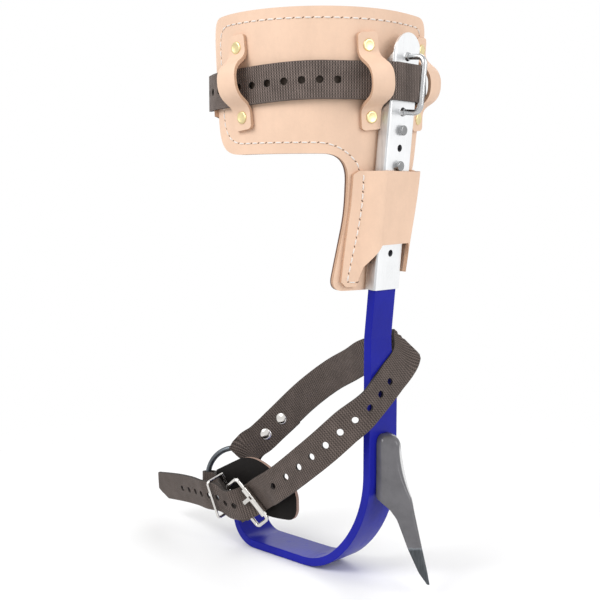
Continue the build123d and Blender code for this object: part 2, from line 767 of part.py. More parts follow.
def at_ring(angle, radius, out):
    """Place beside the ring: an angle round it, a distance from its centre and a distance off its plane."""
    turned = Vector(radius, 0, out).rotate(Axis.Z, angle)
    return ring_plane.from_local_coords(turned)


def ring_tangent(angle):
    """Direction of the ring's wire at an angle round it."""
    return ring_plane.y_dir * cos(radians(angle)) - ring_plane.x_dir * sin(radians(angle))


# Ankle buckle
ankle_origin = Vector(lateral + 39.2, -38.5, 44.1)
ankle_face = Vector(0.0725, -0.9496, -0.304)
ankle_along = Vector(-0.7965, 0.1284, -0.591)
ankle_plane = Plane(origin=ankle_origin, x_dir=ankle_along, z_dir=ankle_face)
ankle_down = ankle_plane.y_dir
ankle_up = ankle_down * -1


def ankle_point(along, down, out):
    """Place beside the ankle buckle: along the strap, down its roller and outward."""
    return ankle_plane.from_local_coords(Vector(along, down, out))


def ankle_across(angle):
    """Across direction of the strap as it turns past the ankle buckle."""
    return ankle_up * cos(radians(angle)) - ankle_plane.x_dir * sin(radians(angle))


ankle_frame_middle = ankle_point(buckle_length / 2, 0, 0)
ankle_frame_plane = Plane(origin=ankle_frame_middle, x_dir=ankle_plane.x_dir, z_dir=ankle_plane.z_dir)
ankle_buckle_frame = wire_box(ankle_frame_plane, buckle_length, ankle_bar, buckle_wire)
finish(ankle_buckle_frame, "ankle_buckle_frame")
ankle_buckle_roller = buckle_roller(ankle_plane, roller_low, roller_high)
finish(ankle_buckle_roller, "ankle_buckle_roller")
ankle_buckle_tongue = buckle_tongue(ankle_plane, ankle_tongue_place)
finish(ankle_buckle_tongue, "ankle_buckle_tongue")

# Ankle strap: doubled on the ring, up behind, once round the shank, down the front, buckle, tail
fold = ring_wire / 2 + strap_clearance + webbing / 2
fold_seat = sqrt(ring_radius**2 - (webbing_width / 2) ** 2) - 2 * strap_clearance
fold_reach = ring_radius + fold_lead
fold_across = ring_tangent(fold_angle)
rear_points = [
    Vector(lateral + 3.4, 8.0, 79.1),
    Vector(lateral + 15.8, 13.0, 91.1),
    Vector(lateral * 0.346, 19.0, 117.1),
    Vector(half_stirrup * 0.109, 19.0, 137.8),
    Vector(half_stirrup - 38.3, 15.0, 147.6),
    Vector(half_stirrup - 20.6, 11.0, 156.7),
    Vector(half_stirrup - 2.6, 18.5, 164.0),
]
rear_run = upright(rear_points)
rear_end = rear_points[1] + (rear_points[2] - rear_points[1]) * 0.45
doubled_run = [(rear_end, rear_run[2][1])] + rear_run[1::-1]
doubled = []
for point, across in doubled_run:
    behind = across.cross(rear_points[2] - rear_points[0]).normalized() * (webbing + running_gap)
    doubled.append((point + behind, across))
fold_run = [
    (at_ring(fold_angle, fold_reach, -fold), fold_across),
    (at_ring(fold_angle, fold_seat, -fold), fold_across),
    (at_ring(fold_angle, fold_seat - 0.7 * fold, -0.7 * fold), fold_across),
    (at_ring(fold_angle, fold_seat - fold, 0), fold_across),
    (at_ring(fold_angle, fold_seat - 0.7 * fold, 0.7 * fold), fold_across),
    (at_ring(fold_angle, fold_seat, fold), fold_across),
    (at_ring(fold_angle, fold_reach, fold), fold_across),
]
wrap_off = webbing / 2 + 3 * strap_clearance
crease = Vector(0, -0.757, 0.654)
wrap_run = [
    (Vector(half_stirrup + 1.2, shank_rear + 17.7, 167.2), crease),
    (Vector(half_stirrup + 2.9, shank_rear + 19.7, 167.5), crease),
    (Vector(half_stirrup + 4.5, shank_rear + 18.9, 165.6), crease),
    (Vector(shank_outer + wrap_off, shank_rear + 13.3, 157.5), Vector(0, -0.65, 0.76)),
    (Vector(shank_outer + wrap_off, shank_rear - 2.0, 144.6), Vector(0, -0.6, 0.8)),
    (Vector(shank_outer + wrap_off, bar_front + 8.0, 134.0), Vector(0, -0.3, 0.95)),
    (Vector(shank_outer + wrap_off, bar_front, 127.5), Vector(0, 0, 1)),
    (Vector(shank_outer - 1.2, bar_front - 4.8, 123.6), Vector(0, 0, 1)),
]
front_run = upright(
    [
        Vector(half_stirrup - 4.1, bar_front - 15.0, 112.1),
        Vector(half_stirrup - 15.7, bar_front - 23.1, 97.8),
        Vector(half_stirrup * 0.431, bar_front - 26.6, 79.3),
        Vector(half_stirrup * 0.215, bar_front - 27.4, 68.5),
        Vector(lateral + 64.0, bar_front - 27.3, 58.7),
    ]
)
buckle_run = [
    (ankle_point(-14, 1.5, -under_roller + 2), ankle_up),
    (ankle_point(-4, 1, -under_roller), ankle_up),
    (ankle_point(0, 1, -under_roller), ankle_up),
    (ankle_point(3.5, 0.5, -under_roller + 1), ankle_up),
    (ankle_point(8.5, -1.5, 2.6), ankle_across(4)),
    (ankle_point(12.5, -3.5, over_heel + strap_clearance), ankle_across(12)),
    (ankle_point(20, -7.5, over_heel + strap_clearance), ankle_across(28)),
]
tail_up = Vector(0, -0.28, 0.96)
tail_run = [
    (Vector(lateral + 5.3, -42.0, 38.7), tail_up),
    (Vector(lateral - 14.8, -39.7, 36.8), tail_up),
    (Vector(lateral - 29.5, -34.9, 35.2), tail_up),
    (Vector(lateral - 48.0, -29.4, 32.4), tail_up),
    (Vector(lateral - 93.0, -18.5, 24.3), Vector(-0.39, -0.26, 0.88)),
]
ankle_route = doubled + fold_run + rear_run + wrap_run + front_run + buckle_run + tail_run
rivet_stations = []
for i, part_way in ((0, 0.45), (1, 0.28)):
    along = rear_points[i + 1] - rear_points[i]
    across = rear_run[i][1] * (1 - part_way) + rear_run[i + 1][1] * part_way
    place = rear_points[i] + along * part_way
    rivet_stations.append(Plane(origin=place, x_dir=across, z_dir=along.cross(across)))
with BuildPart() as ankle_strap:
    for plane, width in ribbon_sections(ankle_route):
        with BuildSketch(plane):
            Rectangle(width, webbing)
    loft(ruled=True)
    with BuildSketch(ankle_plane.offset(-2 * under_roller)):
        with Locations((0.72 * buckle_length, ankle_tongue_place)):
            Rectangle(buckle_length, 2.2 * tongue_wire)
    extrude(amount=under_roller * 4, mode=Mode.SUBTRACT)
    for plane in rivet_stations:
        with BuildSketch(plane.offset(-3 * webbing)):
            Circle(rivet_shank / 2 + screw_clearance)
        extrude(amount=6 * webbing, mode=Mode.SUBTRACT)
finish(ankle_strap, "ankle_strap")

with BuildPart() as ankle_rivets:
    for plane in rivet_stations:
        rivet_back = 1.5 * webbing + 3 * running_gap
        with BuildSketch(plane.offset(webbing / 2 + running_gap)):
            Circle(strap_rivet / 2)
        extrude(amount=rivet_head, taper=20)
        with BuildSketch(plane.offset(-rivet_back - rivet_head)):
            Circle(strap_rivet / 2)
        extrude(amount=rivet_head)
        with BuildSketch(plane.offset(-rivet_back)):
            Circle(rivet_shank / 2)
        extrude(amount=rivet_back + webbing)
finish(ankle_rivets, "ankle_rivets")

# Ankle chape: from the buckle's heel bar to the ring
chape_seat = ring_radius - chape_sag / 2
chape_bore = ring_wire / 2 + chape_sag / 2 + 2 * strap_clearance
chape_end = at_ring(chape_angle, chape_seat, 0)
chape_end_across = ring_tangent(chape_angle) * -1
heel_middle = ankle_point(buckle_length, 0, 0)
chape_middle = Vector(lateral + 1.0, -31.5, 38.0)
chape_run = (
    (heel_middle, ankle_up, chape_middle - heel_middle),
    (chape_middle, ankle_up + chape_end_across, chape_end - heel_middle),
    (chape_end, chape_end_across, chape_end - chape_middle),
)
chape_sections = []
for point, across, along in chape_run:
    across = across.normalized()
    chape_sections.append(Plane(origin=point, x_dir=across, z_dir=along - across * along.dot(across)))
with BuildPart() as ankle_chape:
    for stretch in zip(chape_sections, chape_sections[1:]):
        for plane in stretch:
            with BuildSketch(plane):
                Rectangle(chape_width, 2 * webbing)
        loft(ruled=True)
    with BuildSketch(on_heel(ankle_plane)):
        Circle(heel_bore + webbing)
    extrude(amount=chape_width / 2, both=True)
    with BuildSketch(Plane(origin=chape_end, z_dir=chape_end_across)):
        Circle(chape_bore + webbing)
    extrude(amount=chape_width / 2, both=True)
    with BuildSketch(on_heel(ankle_plane)):
        Circle(heel_bore)
    extrude(amount=webbing_width, both=True, mode=Mode.SUBTRACT)
    with BuildSketch(Plane(origin=chape_end, z_dir=chape_end_across)):
        Circle(chape_bore)
    extrude(amount=webbing_width, both=True, mode=Mode.SUBTRACT)
    with BuildSketch(ankle_plane.offset(-2 * under_roller)):
        with Locations((buckle_length, ankle_tongue_place)):
            Rectangle(buckle_length, 2.2 * tongue_wire)
    extrude(amount=under_roller * 4, mode=Mode.SUBTRACT)
finish(ankle_chape, "ankle_chape")

# Leather shield behind the ankle buckle, curved in plan
shield_middle = Vector(lateral + 37.0, 0, 53.0)
shield_left = (lateral - 13.0, -19.5)
shield_bow = (lateral + 47.0, -27.3)
shield_right = (lateral + 88.0, -26.5)
with BuildPart() as ankle_shield:
    with BuildSketch(Plane.XY):
        with BuildLine():
            shield_curve = ThreePointArc(shield_left, shield_bow, shield_right)
        trace(shield_curve, shield_leather)
    extrude(amount=2 * shield_middle.Z)
    with BuildSketch(Plane.XZ):
        with Locations((shield_middle.X, shield_middle.Z)):
            SlotOverall(shield_length, shield_width, rotation=shield_tilt)
    extrude(amount=4 * tread_width, mode=Mode.INTERSECT)
finish(ankle_shield, "ankle_shield")

tail_along = (tail_run[1][0] - tail_run[0][0]).normalized()
keeper_share = (lateral + 1.0 - tail_run[0][0].X) / (tail_run[1][0].X - tail_run[0][0].X)
keeper_tail = tail_run[0][0] * (1 - keeper_share) + tail_run[1][0] * keeper_share
keeper_step = chape_middle - keeper_tail
keeper_seat = keeper_tail + keeper_step * 0.5 + keeper_step.normalized() * (webbing / 4)
keeper_across = tail_up - tail_along * tail_along.dot(tail_up)
ankle_keeper_plane = Plane(origin=keeper_seat, x_dir=keeper_across, z_dir=tail_along)
ankle_keeper_depth = keeper_step.length + 1.5 * webbing + 2 * keeper_play + keeper_wire
ankle_keeper_width = keeper_width + 2 * keeper_play
ankle_keeper = wire_box(ankle_keeper_plane, ankle_keeper_width, ankle_keeper_depth, keeper_wire)
finish(ankle_keeper, "ankle_keeper")
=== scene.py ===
"""Looks of a pole climber: leather and webbing as worked-out surfaces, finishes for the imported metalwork, a stage."""

import bmesh
import bpy
import numpy as np
from bpy.props import FloatProperty, FloatVectorProperty, PointerProperty
from bpy.types import Operator, Panel, PropertyGroup
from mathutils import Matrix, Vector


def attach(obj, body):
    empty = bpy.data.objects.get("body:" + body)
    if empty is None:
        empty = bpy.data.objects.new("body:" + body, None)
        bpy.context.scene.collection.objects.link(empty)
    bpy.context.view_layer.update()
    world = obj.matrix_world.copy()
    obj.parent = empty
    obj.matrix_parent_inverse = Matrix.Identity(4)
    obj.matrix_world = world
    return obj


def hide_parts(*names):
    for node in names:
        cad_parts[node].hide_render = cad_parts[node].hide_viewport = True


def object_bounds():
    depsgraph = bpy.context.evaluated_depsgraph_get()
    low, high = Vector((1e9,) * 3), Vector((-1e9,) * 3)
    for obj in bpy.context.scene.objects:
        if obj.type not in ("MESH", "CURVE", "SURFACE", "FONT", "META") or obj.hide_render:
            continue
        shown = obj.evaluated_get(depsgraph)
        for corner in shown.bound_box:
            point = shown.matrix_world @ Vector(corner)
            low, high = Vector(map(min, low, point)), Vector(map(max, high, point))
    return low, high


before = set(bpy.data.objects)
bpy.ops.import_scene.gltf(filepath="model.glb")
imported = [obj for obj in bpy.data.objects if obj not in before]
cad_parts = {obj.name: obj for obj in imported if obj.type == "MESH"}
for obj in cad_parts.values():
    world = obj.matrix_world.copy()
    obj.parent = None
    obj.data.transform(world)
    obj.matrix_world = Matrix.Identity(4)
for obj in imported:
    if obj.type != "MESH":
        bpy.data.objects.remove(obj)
cad_box = [list(corner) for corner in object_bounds()]

bl_info = {
    "name": "Pole climber looks",
    "version": (1, 0, 0),
    "blender": (4, 5, 0),
    "location": "3D View > Sidebar > Climber",
    "description": "Leather, webbing and metal finishes for a packed pole climber",
    "category": "Object",
}

# Lengths below are millimetres in the climber's frame; a mesh is made in metres.
MM = 0.001
STRAP_LEVEL = 352.5
STRAP_HALF = 12.7
PAD_AXIS = 6.648
PAD_MIDDLE = -3.975
PAD_ROUND = 74.0
PAD_REAR_ROUND = 105.0
PAD_GAP = 0.15
PAD_TOP = 400.4
PAD_LOW = 304.0
PAD_FOOT = 209.8
PAD_REAR_REACH = 36.0
LEAN = np.radians(5.66)
SLEEVE_DEPTH = 9.79
SLEEVE_WIDTH = 28.0
SLEEVE_WALL = 1.6
SLEEVE_FOOT = 210.13
LATERAL = -65.0
SHANK_INNER = 65.0
SHANK_OUTER = 71.35
SHANK_FRONT = -15.875
SHANK_REAR = 7.925
BUCKLE_WIRE = 3.0
BUCKLE_LENGTH = 16.0
ROLLER = 5.8
SLACK = 0.4

# Heights of the sleeve's open holes above its foot, and how far behind their middle the bar gets painted shade: dark
# spots for the shade inside the holes
OPEN_HOLES = (26.0, 99.2)
HOLE_SHADE_SHIFT = 1.5

# Painted shade behind the sleeve's open holes, painted highlight on the gaff and painted shadow in the awl slots, in
# linear light; and the share of the pale yarns' colour that is left on the straps at the ankle, as painted shade
PAINTED_HOLE_SHADE = (0.008, 0.008, 0.012)
PAINTED_HIGHLIGHT = (0.86, 0.86, 0.86)
AWL_SHADOW = (0.17, 0.10, 0.07)
ANKLE_SHADE_SHARE = 0.66


def unit(vectors):
    """Each vector divided by its own length."""
    vectors = np.asarray(vectors, float)
    return vectors / np.linalg.norm(vectors, axis=-1, keepdims=True)


def smooth(low, high, value):
    """The smooth step 3t^2 - 2t^3 of a value between two limits."""
    t = np.clip((value - low) / (high - low), 0, 1)
    return t * t * (3 - 2 * t)


def grid_faces(rows, columns, wrap=False, start=0):
    """Corners of the quads of a grid; with wrap, the last column joins the first."""
    row = np.arange(rows - 1)[:, None] * columns
    column = np.arange(columns if wrap else columns - 1)[None, :]
    after = (column + 1) % columns
    corners = np.stack([row + column, row + after, row + columns + after, row + columns + column], -1)
    return corners.reshape(-1, 4) + start


def copies(quads, each, count):
    """The same quads for several shapes of so many points, one after another."""
    return (quads[None] + np.arange(count)[:, None, None] * each).reshape(-1, 4)


def run_of(line):
    """Distance along a line to each of its points."""
    return np.concatenate([[0], np.cumsum(np.linalg.norm(np.diff(line, axis=0), axis=1))])


def along_line(place, run, line):
    """The line at given distances along it."""
    return np.stack([np.interp(place, run, column) for column in line.T], -1)


def resample(line, count):
    """The line at equal steps of its own length."""
    line = np.asarray(line, float)
    run = run_of(line)
    return along_line(np.linspace(0, run[-1], count), run, line)


def parabola(start, corner, end, t):
    """The curve from start to end that sets out and arrives in line with a corner."""
    return (1 - t) ** 2 * start + 2 * t * (1 - t) * corner + t**2 * end


def rounded(corners):
    """A line through (x, y, cut) corners; each cut corner is the parabola between the points at that distance."""
    corners = np.asarray(corners, float)
    points = corners[:, :2]
    t = np.linspace(0, 1, 13)[:, None]
    pieces = [points[:1]]
    for before, corner, after, cut in zip(points, points[1:], points[2:], corners[1:-1, 2]):
        start = corner + unit(before - corner) * cut
        end = corner + unit(after - corner) * cut
        pieces.append(parabola(start, corner, end, t))
    pieces.append(points[-1:])
    return np.concatenate(pieces)


def pad_reach(z):
    """Distance from the pad's axis to its outer face behind the leaning sleeve."""
    return PAD_ROUND + np.tan(LEAN) * (z - STRAP_LEVEL)


def pad_place(flat, depth):
    """Point of the pad from (s, z): s is the arc in front of the sleeve, and the straight distance behind it.

    The section at each height is a quarter of an ellipse on each side of the sleeve and a round of one radius
    past the front; depth goes in towards the leg.
    """
    s, z = flat[..., 0], flat[..., 1]
    angle = np.where(s < 0, s / PAD_ROUND, np.arcsin(np.clip(s / PAD_REAR_ROUND, 0, 0.9)))
    reach = np.where(angle < -np.pi / 2, PAD_ROUND, pad_reach(z)) - depth
    across = np.where(s < 0, PAD_ROUND, PAD_REAR_ROUND) - depth
    x = PAD_AXIS + reach * np.cos(angle)
    y = PAD_MIDDLE + across * np.sin(angle)
    return np.stack([x, y, z + 0 * x], -1)


def sleeve_front(z):
    """X of the sleeve's outer face at a height."""
    return PAD_AXIS + pad_reach(z) + PAD_GAP + SLEEVE_DEPTH / np.cos(LEAN)


def patch(lower, upper, rows):
    """Flat grid between two edges with the same number of points: straight lines join the pairs."""
    share = np.linspace(0, 1, rows)[None, :, None]
    return lower[:, None, :] * (1 - share) + upper[:, None, :] * share


def chained(pieces, counts):
    """Several lines end to end, each at its own number of equal steps."""
    lines = [resample(piece, count + 1) for piece, count in zip(pieces, counts)]
    return np.concatenate([line[:-1] for line in lines] + [lines[-1][-1:]])


def add_piece(name, points, faces, outward, body, materials, flat=None):
    """Make a mesh object from whole arrays of points, quads and flat places, and let it ride on a body.

    outward gives one direction per point or for all; the quads are turned round when they face the other way.
    """
    points = np.asarray(points, float).reshape(-1, 3)
    faces = np.asarray(faces, int)
    outward = np.broadcast_to(outward, points.shape)[faces[:, 0]]
    turned = np.cross(points[faces[:, 2]] - points[faces[:, 0]], points[faces[:, 3]] - points[faces[:, 1]])
    if np.sum(turned * outward) < 0:
        faces = faces[:, ::-1]
    mesh = bpy.data.meshes.new(name)
    mesh.from_pydata((points * MM).tolist(), [], faces.tolist())
    mesh.polygons.foreach_set("use_smooth", np.ones(len(mesh.polygons), bool))
    if flat is not None:
        corner = np.empty(len(mesh.loops), np.int32)
        mesh.loops.foreach_get("vertex_index", corner)
        layer = mesh.uv_layers.new(name="flat")
        layer.data.foreach_set("uv", np.asarray(flat, np.float32).reshape(-1, 2)[corner].ravel())
    work = bmesh.new()
    work.from_mesh(mesh)
    bmesh.ops.remove_doubles(work, verts=work.verts, dist=1e-7)
    work.to_mesh(mesh)
    work.free()
    for material in materials:
        mesh.materials.append(material)
    piece = bpy.data.objects.new(name, mesh)
    bpy.context.scene.collection.objects.link(piece)
    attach(piece, body)
    return piece


def thicken(piece, thickness, round_off, offset=-1.0):
    """Give a surface its thickness in millimetres and round its rims; the rims take the second material."""
    wall = piece.modifiers.new("thickness", "SOLIDIFY")
    wall.thickness = thickness * MM
    wall.offset = offset
    wall.material_offset_rim = 1
    edge = piece.modifiers.new("rounding", "BEVEL")
    edge.width = round_off * MM
    edge.segments = 3
    edge.limit_method = "ANGLE"
    edge.angle_limit = np.radians(55)
    edge.harden_normals = True


def route(points, across, step=0.6, even=9.0):
    """Smooth way through stations: cubic pieces whose end slopes are the chord slopes weighed by chord length.

    The across direction is averaged over a short stretch, even millimetres each way, so a strap turns without a kink.
    Gives arrays of the distance along it, its points, and its along, across and outward directions.
    """
    points = np.asarray(points, float)
    stations = np.concatenate([points, unit(across)], axis=1)
    chord = np.linalg.norm(np.diff(points, axis=0), axis=1)
    slope = np.diff(stations, axis=0) / chord[:, None]
    inner = (slope[:-1] * chord[1:, None] + slope[1:] * chord[:-1, None]) / (chord[:-1] + chord[1:])[:, None]
    ends = np.concatenate([slope[:1], inner, slope[-1:]])
    t = np.linspace(0, 1, 25)[None, :-1, None]
    a, b = stations[:-1, None], stations[1:, None]
    da, db = ends[:-1, None] * chord[:, None, None], ends[1:, None] * chord[:, None, None]
    h = 2 * t**3 - 3 * t**2
    line = (1 + h) * a + (t**3 - 2 * t**2 + t) * da - h * b + (t**3 - t**2) * db
    line = np.concatenate([line.reshape(-1, 6), stations[-1:]])
    run = run_of(line[:, :3])
    place = np.linspace(0, run[-1], int(run[-1] / step) + 2)
    line = along_line(place, run, line)
    tangent = unit(np.gradient(line[:, :3], axis=0))
    weight = np.hanning(2 * int(even / step) + 3)[1:-1]
    padded = np.pad(line[:, 3:], ((len(weight) // 2, len(weight) // 2), (0, 0)), "edge")
    side = unit(np.stack([np.convolve(padded[:, i], weight, "valid") for i in range(3)], -1))
    slant = np.sum(side * tangent, axis=1)
    square = np.sqrt(1 - slant**2)
    return {
        "run": place,
        "line": line[:, :3],
        "along": tangent,
        "across": side / square[:, None],
        "out": unit(np.cross(tangent, side)),
        "slant": slant / square,
    }


def on_route(way, flat, out=0.0):
    """Point beside a way: s along it, w square across it and a distance outward.

    The straight line across may slant; the one through a point starts w times its own slant further back, found by
    repeating that step.
    """
    s, w = flat[..., 0], flat[..., 1]
    start = s
    for _ in range(8):
        start = s - w * np.interp(start, way["run"], way["slant"])
    inside = np.clip(start, 0, way["run"][-1])

    def at(key):
        """One of the way's arrays at the places found."""
        return along_line(inside, way["run"], way[key])

    point = at("line") + (start - inside)[..., None] * at("along")
    return point + w[..., None] * at("across") + np.asarray(out)[..., None] * at("out")


def band(end, width, holes, hole, step=2.0, rows=9, taper=None):
    """Flat strap as (s, w) points and quads, with its holes, given by their middles and radius, cut out.

    Plain stretches are a square grid. Round each hole a ring grid runs from the circle out to its tile's
    rectangle. taper(w) is how far the far end is cut back across its width.
    """
    half = 1.5 * hole
    level = np.linspace(-width / 2, width / 2, rows)
    holes = np.sort(np.asarray(holes, float))
    stops = np.concatenate([[0], np.stack([holes - half, holes + half], -1).ravel(), [end]])
    points, faces, count = [], [], 0
    for low, high in zip(stops[0::2], stops[1::2]):
        columns = max(2, int((high - low) / step) + 1)
        s = np.linspace(low, high, columns)
        tile = np.stack(np.broadcast_arrays(s[:, None], level[None, :]), -1)
        points.append(tile.reshape(-1, 2))
        faces.append(grid_faces(columns, rows, start=count))
        count += columns * rows
    ends = np.linspace(-half, half, 7)
    low_edge = np.stack([ends, np.full(7, -width / 2)], -1)
    right_edge = np.stack([np.full(rows, half), level], -1)
    rim = np.concatenate([low_edge[:-1], right_edge[:-1], -low_edge[:-1], -right_edge[:-1]])
    angle = np.arctan2(rim[:, 1] / (width / 2), rim[:, 0] / half)
    circle = hole * np.stack([np.cos(angle), np.sin(angle)], -1)
    share = np.array([0, 0.12, 0.45, 1.0])[:, None, None]
    ring = circle * (1 - share) + rim * share
    for middle in holes:
        points.append((ring + np.array([middle, 0])).reshape(-1, 2))
        faces.append(grid_faces(len(share), len(rim), wrap=True, start=count))
        count += len(share) * len(rim)
    points, index = np.unique(np.round(np.concatenate(points), 5), axis=0, return_inverse=True)
    faces = index.ravel()[np.concatenate(faces)]
    if taper is not None:
        last = stops[-2]
        share = np.clip((points[:, 0] - last) / (end - last), 0, 1)
        points[:, 0] -= share * taper(points[:, 1])
    return points, facing(points, faces)


def facing(points, faces):
    """Flat quads, each turned so that its corners run the same way round."""
    a, b = points[faces[:, 2]] - points[faces[:, 0]], points[faces[:, 3]] - points[faces[:, 1]]
    back = a[:, 0] * b[:, 1] - a[:, 1] * b[:, 0] < 0
    return np.where(back[:, None], faces[:, ::-1], faces)


def seam_places(line, pitch):
    """Distance along a flat line, and the middles of its stitches at a steady pitch."""
    run = run_of(line)
    return run, np.arange(pitch / 2, run[-1] - pitch / 2, pitch)


def stitches(name, line, place, body, material, pitch, thread, fill=0.74):
    """Sewing thread along a flat line: each stitch is a round strand that bows out and dips in at both ends.

    The strand's radius and lift follow the sine of its own length, so the ends close to a point under the leather.
    """
    run, first = seam_places(line, pitch)
    u, around = np.linspace(0, 1, 9), 6
    flat = along_line(first[:, None] + (u[None, :] - 0.5) * pitch * fill, run, line)
    bow = np.sin(np.pi * u)[None, :]
    lift = thread * (1.1 * np.sqrt(bow) - 0.7)
    centre = place(flat, -lift)
    out = unit(place(flat, -1.0) - place(flat, 0.0))
    along = unit(np.gradient(centre, axis=1))
    side = np.cross(along, out)
    turn = np.linspace(0, 2 * np.pi, around, endpoint=False)[None, None, :, None]
    radius = (thread * np.clip(1.6 * bow, 0, 1) ** 0.5)[..., None, None]
    rings = centre[:, :, None] + radius * (np.cos(turn) * out[:, :, None] + np.sin(turn) * side[:, :, None])
    faces = copies(grid_faces(len(u), around, wrap=True), len(u) * around, len(first))
    points = rings.reshape(-1, 3)
    middle = np.repeat(centre.reshape(-1, 3), around, axis=0)
    return add_piece(name, points, faces, points - middle, body, [material])


def stitch_holes(name, line, place, body, material, pitch, length=0.95, width=0.42, turned=35.0):
    """Awl slots between the stitches: shallow lenses turned from the seam, dark with painted shadow.

    Each is a ring grid that closes at its middle, above and below.
    """
    run, first = seam_places(line, pitch)
    s = first + pitch / 2
    centre = along_line(s, run, line)
    ahead = along_line(s + 0.5, run, line) - along_line(s - 0.5, run, line)
    angle = np.arctan2(ahead[:, 1], ahead[:, 0]) + np.radians(turned)
    long = np.stack([np.cos(angle), np.sin(angle)], -1)
    short = np.stack([-long[:, 1], long[:, 0]], -1)
    size = np.array([0, 0.8, 1.0, 0.8, 0])
    lift = 0.06 * np.array([1, 0.8, 0, -1, -1])
    around = 8
    each = len(size) * around
    turn = np.linspace(0, 2 * np.pi, around, endpoint=False)[None, :, None]
    rim = length * np.cos(turn) * long[:, None] + width * np.sin(turn) * short[:, None]
    flat = centre[:, None, None] + size[None, :, None, None] * rim[:, None]
    points = place(flat, -np.broadcast_to(lift[None, :, None], flat.shape[:-1])).reshape(-1, 3)
    faces = copies(grid_faces(len(size), around, wrap=True), each, len(s))
    middle = np.repeat(points.reshape(len(s), each, 3).mean(axis=1), each, axis=0)
    return add_piece(name, points, faces, points - middle, body, [material])


def domes(name, seats, profile, body, material):
    """Round heads: a profile of (radius, height) turned about each seat's outward direction."""
    profile = np.asarray(profile, float)
    turn = np.linspace(0, 2 * np.pi, 32, endpoint=False)
    points, outward = [], []
    for middle, out in seats:
        out = unit(out)
        side = unit(np.cross(out, [0.3, 0.1, 1.0]))
        other = np.cross(out, side)
        spoke = np.cos(turn)[None, :, None] * side + np.sin(turn)[None, :, None] * other
        ring = middle + profile[:, :1, None] * spoke + profile[:, 1:, None] * out
        points.append(ring.reshape(-1, 3))
        outward.append((ring - np.asarray(middle) - 0.2 * out).reshape(-1, 3))
    faces = copies(grid_faces(len(profile), len(turn), wrap=True), len(profile) * len(turn), len(seats))
    points, outward = np.concatenate(points), np.concatenate(outward)
    return add_piece(name, points, faces, outward, body, [material])


class Wire:
    """A socket of a material's nodes. Arithmetic on it adds Math nodes, and make() adds any other node."""

    def __init__(self, tree, socket=None):
        self.tree = tree
        self.socket = socket

    def make(self, kind, settings=None, inputs=None, output=0):
        """Add a node: its settings first, then the values or links of its sockets; gives one of its outputs."""
        node = self.tree.nodes.new(kind)
        for key, value in (settings or {}).items():
            setattr(node, key, value)
        for key, value in (inputs or {}).items():
            if isinstance(value, Wire):
                self.tree.links.new(value.socket, node.inputs[key])
            else:
                node.inputs[key].default_value = value
        return Wire(self.tree, node.outputs[output] if len(node.outputs) else None)

    def math(self, operation, first, second=0.0):
        """A Math node on two values or sockets."""
        return self.make("ShaderNodeMath", {"operation": operation}, {0: first, 1: second})

    def __add__(self, other):
        return self.math("ADD", self, other)

    def __sub__(self, other):
        return self.math("SUBTRACT", self, other)

    def __rsub__(self, other):
        return self.math("SUBTRACT", other, self)

    def __mul__(self, other):
        return self.math("MULTIPLY", self, other)

    def __pow__(self, other):
        return self.math("POWER", self, other)

    __radd__ = __add__
    __rmul__ = __mul__

    def sine(self):
        """Sine of the value."""
        return self.math("SINE", self)

    def absolute(self):
        """The value without its sign."""
        return self.math("ABSOLUTE", self)

    def between(self, low, high):
        """The value brought smoothly from low..high to 0..1."""
        inputs = {"Value": self, "From Min": low, "From Max": high}
        return self.make("ShaderNodeMapRange", {"interpolation_type": "SMOOTHSTEP"}, inputs)

    def mix(self, first, second):
        """Colour between two colours, by this value."""
        inputs = {0: self, 6: first, 7: second}
        return self.make("ShaderNodeMix", {"data_type": "RGBA"}, inputs, output=2)

    def noise(self, scale, detail=3.0, rough=0.55):
        """Noise at places given by this vector, scale in features per metre."""
        inputs = {"Vector": self, "Scale": scale, "Detail": detail, "Roughness": rough}
        return self.make("ShaderNodeTexNoise", None, inputs)

    def cells(self, scale):
        """Distance to the nearest middle of a pattern of cells at places given by this vector."""
        return self.make("ShaderNodeTexVoronoi", {"feature": "F1"}, {"Vector": self, "Scale": scale})

    def stretched(self, x, y, z):
        """This vector scaled by a different factor along each axis."""
        inputs = {0: self, 1: (x, y, z)}
        return self.make("ShaderNodeVectorMath", {"operation": "MULTIPLY"}, inputs)

    def axes(self):
        """The three parts of this vector."""
        split = self.make("ShaderNodeSeparateXYZ", None, {0: self})
        outputs = split.socket.node.outputs
        return [Wire(self.tree, outputs[i]) for i in range(3)]

    def bump(self, height):
        """Normal of a surface raised by a height in metres."""
        return self.make("ShaderNodeBump", None, {"Height": height, "Strength": 1.0, "Distance": 1.0})


def new_material(name):
    """An empty material: its name, its node wire and its surface shader."""
    material = bpy.data.materials.new(name)
    material.use_nodes = True
    tree = material.node_tree
    shader = tree.nodes["Principled BSDF"]
    return material, Wire(tree), shader


def feed(wire, shader, fixed, varying):
    """Set the shader's fixed sockets and link the varying ones."""
    for key, value in fixed.items():
        shader.inputs[key].default_value = value
    for key, value in varying.items():
        wire.tree.links.new(value.socket, shader.inputs[key])


def rgba(colour, factor=1.0):
    """A colour with alpha, made lighter or darker by a factor."""
    return tuple(min(1.0, c * factor) for c in colour[:3]) + (1.0,)


def object_places(wire):
    """Object coordinates in metres."""
    return wire.make("ShaderNodeTexCoord", output=3)


